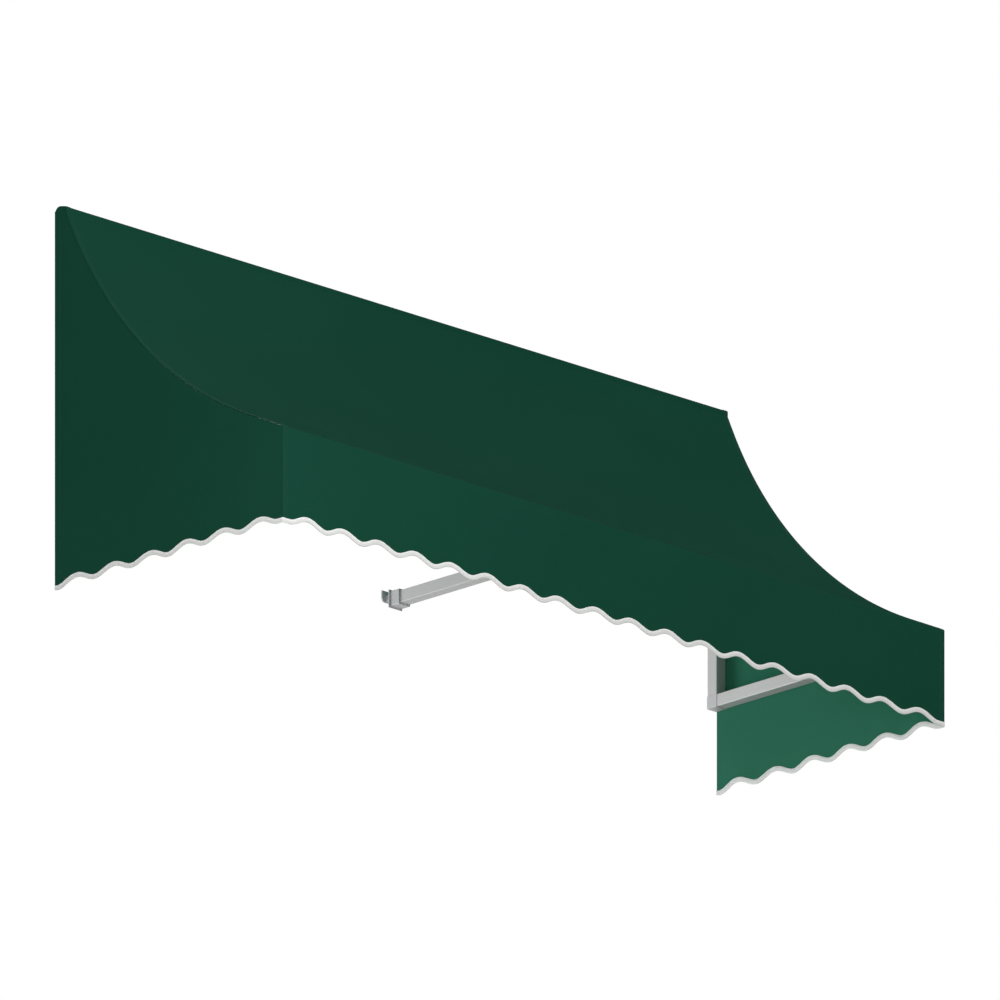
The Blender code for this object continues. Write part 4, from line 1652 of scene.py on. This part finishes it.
@dataclass
class Studio:
    """Camera, lamps, background and floor.

    Attributes:
        azimuth: The camera's place, as a softbox's.
        elevation: The camera's height angle; it looks up at the awning.
        target: The point in the middle of the picture.
        span: What the picture shows from side to side.
        distance: From the target to the camera.
        clip: How far the camera sees.
        floor: World height of the floor.
        floor_radius: The round floor's radius.
        floor_sides: How many corners its rim has.
        floor_rings: How many rings of points it has.
        floor_hub: The innermost ring's size, by the radius.
        floor_tone: How light the floor is.
        floor_fade: Where it starts to fade into the surroundings and is gone, by the radius.
        floor_glow: How much white the camera sees in the floor besides its own light.
        ambient: The strength of the surroundings' light.
        boxes: The lamps.
    """

    azimuth: float = -45.33
    elevation: float = -17.85
    target: tuple[float, float, float] = (-0.3455, -0.6530, -0.5745)
    span: float = 1.9434
    distance: float = 4.0
    clip: float = 50.0
    floor: float = -3.35
    floor_radius: float = 6.0
    floor_sides: int = 96
    floor_rings: int = 9
    floor_hub: float = 0.02
    floor_tone: float = 0.82
    floor_fade: Span = (0.55, 0.97)
    floor_glow: float = 0.5
    ambient: float = 0.30
    boxes: tuple[Softbox, ...] = (
        Softbox("street_softbox", -50.0, 10.0, 3.2, 1.4, 40.0),
        Softbox("sky_softbox", 30.0, 30.0, 4.5, 2.0, 86.0),
        Softbox("low_fill", -45.0, -20.0, 3.4, 1.6, 26.0),
        Softbox("window_light", -155.0, -12.0, 4.0, 1.9, 76.0),
        Softbox("right_fill", 102.0, 8.0, 3.4, 1.5, 26.0),
    )

    def camera(self) -> None:
        """Puts a parallel camera at the photograph's angle."""
        data = bpy.data.cameras.new("camera")
        data.type = "ORTHO"
        data.ortho_scale = self.span
        data.clip_end = self.clip
        back = direction(self.azimuth, self.elevation)
        bpy.context.scene.camera = aimed("camera", data, Vector(self.target), back, self.distance)

    def lamps(self) -> None:
        """Hangs the softboxes round the awning's middle."""
        middle = (CAD_BOX[0] + CAD_BOX[1]) / 2
        for box in self.boxes:
            data = bpy.data.lights.new(box.name, "AREA")
            data.shape = "SQUARE"
            data.size = box.size
            data.energy = box.power
            back = direction(box.azimuth, box.elevation)
            aimed(box.name, data, middle, back, box.distance).visible_camera = False

    def world(self) -> None:
        """Makes the surroundings: white to the camera and in reflections, a soft grey as light."""
        world = bpy.data.worlds.new("studio")
        world.use_nodes = True
        graph = Graph(world.node_tree)
        background = world.node_tree.nodes["Background"]
        seen = self.seen(graph)
        level = seen + (1 - seen) * self.ambient
        world.node_tree.links.new(level.socket, background.inputs["Strength"])
        background.inputs["Color"].default_value = (1.0, 1.0, 1.0, 1.0)
        bpy.context.scene.world = world

    @staticmethod
    def seen(graph: Graph) -> Wire:
        """Tells the rays that show the surroundings from those that light the awning.

        Args:
            graph: The nodes that it is added to.

        Returns:
            1 for rays from the camera, in gloss and through glass, and 0 for light.
        """
        camera = graph.add("ShaderNodeLightPath", output="Is Camera Ray")
        outputs = camera.socket.node.outputs
        glossy = Wire(graph, outputs["Is Glossy Ray"])
        through = Wire(graph, outputs["Is Transmission Ray"])
        return camera.maths("MAXIMUM", camera, camera.maths("MAXIMUM", glossy, through))

    def ground(self) -> bpy.types.Object:
        """Lays a round pale floor far below, whose rim fades into the white surroundings.

        Its points are rings: at the angle a, a point is the ring's radius times (cos a, sin a).

        Returns:
            The floor.
        """
        turn = np.arange(self.floor_sides) * 2 * math.pi / self.floor_sides
        rings = np.linspace(self.floor_hub, 1.0, self.floor_rings)[:, None] * self.floor_radius
        x, y = rings * np.cos(turn), rings * np.sin(turn)
        points = np.stack([x, y, np.full_like(x, self.floor)], axis=-1)
        index, walls = tube_faces(self.floor_rings, self.floor_sides)
        floor = new_piece("floor", points.reshape(-1, 3), [walls[:, ::-1], index[:1]])
        material, graph = new_material("floor", {"Roughness": 0.9, "Specular IOR Level": 0.1})
        flat = graph.scaled(graph.object_place(), (1.0, 1.0, 0.0))
        far = graph.add("ShaderNodeVectorMath", {"operation": "LENGTH"}, {0: flat}, "Value")
        rim = far.ramp(*(self.floor_radius * share for share in self.floor_fade))
        glow = self.floor_glow + rim * (1 - self.floor_glow)
        shader = material.node_tree.nodes["Principled BSDF"]
        shader.inputs["Base Color"].default_value = padded([self.floor_tone] * 3)
        white = graph.add("ShaderNodeEmission", {}, {"Strength": 1.0})
        lit = Wire(graph, shader.outputs[0])
        mixed = graph.add("ShaderNodeMixShader", {}, {0: glow * self.seen(graph), 1: lit, 2: white})
        output = material.node_tree.nodes["Material Output"]
        material.node_tree.links.new(mixed.socket, output.inputs["Surface"])
        floor.data.materials.append(material)
        floor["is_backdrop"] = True
        return floor

    def build(self) -> None:
        """Sets up the whole studio."""
        self.camera()
        self.lamps()
        self.world()
        self.ground()
        bpy.context.scene.view_settings.view_transform = "Standard"


@dataclass
class Awning:
    """The whole awning: sewn hood and frame.

    Attributes:
        hood: The hood's sizes.
        outside: The finish of the canvas on the street side.
        inside: The finish of the canvas on the window side, whose colour is painted light: much
            lighter than the street side, for the glow of light through the cloth.
        tape: The finish of the binding.
        green_thread: The finish of the seams' thread.
        white_thread: The finish of the binding's thread.
        white_radius: The radius of the binding's thread.
    """

    hood: Hood
    outside: Canvas = Canvas("canvas_outside", (0.0056, 0.0515, 0.0310), (0.0072, 0.0570, 0.0350))
    # The window side's colours are painted light: far lighter than the street side's, standing in for
    # light that shines through the cloth.
    inside: Canvas = Canvas("canvas_inside_painted_glow", (0.0360, 0.1900, 0.1220), (0.0400, 0.2000, 0.1290))
    tape: Tape = Tape()
    green_thread: Thread = Thread("green_thread", (0.010, 0.060, 0.040))
    white_thread: Thread = Thread("white_thread", (0.78, 0.78, 0.76))
    white_radius: float = 0.0004

    def place(self, piece: bpy.types.Object, slot: str, *nodes: str) -> bpy.types.Object:
        """Fixes a piece to the frame, hides the nodes that it replaces, and reports it.

        Args:
            piece: The finished piece.
            slot: The record's material slot; not used.
            nodes: The nodes that it replaces.

        Returns:
            The piece.
        """
        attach(piece, BODY)
        if nodes:
            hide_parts(*nodes)
        log.info("%s: %d faces", piece.name, len(piece.data.polygons))
        return piece

    def cloth_length(self) -> float:
        """Length of the cover's cut, from its hem to its lowest point."""
        line = self.hood.profile(LENGTH_STEP)
        return float(travelled(line)[-1] + self.hood.drop + line[-1, 1])

    def panel_area(self) -> float:
        """Flat area of an end panel, under the canopy's line and down to the trimmed edge.

        It is the sum of upright strips down to the scallops' lowest points, less the mean rise
        of the scallops over the whole projection.

        Returns:
            The area in square metres.
        """
        line = self.hood.profile(LENGTH_STEP)
        mean_height = (line[1:, 1] + line[:-1, 1]) / 2 + self.hood.drop
        under = float((mean_height * np.diff(line[:, 0])).sum())
        return under - self.hood.projection * self.hood.wave_height / 2

    def build(self) -> None:
        """Builds and dresses every piece of the awning."""
        hood = self.hood
        skins = (self.outside.material(), self.inside.material())
        seams, tape_seams = Stitches(), Stitches(radius=self.white_radius)
        cover, binding = Cover(hood), EdgeBinding(hood)
        sheet = self.place(cover.build(skins), "fabric", "cover")
        cover.seam_rows(seams)
        tape = self.place(binding.build(self.tape), "trim", "edge_binding")
        binding.seam_rows(tape_seams)
        panels = {}
        for side in Side:
            panel = EndPanel(hood, side)
            panels[side] = self.place(panel.build(skins), "fabric", f"end_panel_{side.word}")
            panel.seam_rows(seams)
        thread = self.place(seams.build("seam_stitches", self.green_thread), "fabric")
        white = self.place(tape_seams.build("tape_stitches", self.white_thread), "trim")
        length = self.cloth_length()
        for side, panel in panels.items():
            hood.crown_height + hood.drop
            f"post_{side.word}"
            f"rafter_{side.word}"
            f"arm_{side.word}"
            self.panel_area()
        TubeFrame().dress(frame["nodes"])


def measured_hood() -> Hood:
    """The hood's overall sizes, taken from the frame.

    Returns:
        A hood whose width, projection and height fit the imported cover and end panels.
    """
    left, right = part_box("end_panel_left")[0].x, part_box("end_panel_right")[1].x
    low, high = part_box("cover")
    trial = Hood(right - left, -low.y, 0.0)
    crown = float(trial.profile(CROWN_STEP)[:, 1].max())
    return Hood(trial.width, trial.projection, high.z - crown)


def write_sizes() -> None:
    """Logs the CAD model's box and the dressed model's box as plain lists."""
    boxes = {"cad": CAD_BOX, "visual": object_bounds()}
    sizes = {name: [list(corner) for corner in box] for name, box in boxes.items()}
    log.info("sizes: %s", sizes)


def main() -> None:
    """Builds the awning and its studio in order."""
    logging.basicConfig(level=logging.INFO, format="%(name)s: %(message)s")
    Studio().build()
    hood = measured_hood()
    log.info("hood: %s", hood)
    Awning(hood).build()
    write_sizes()


if __name__ == "__main__":
    main()
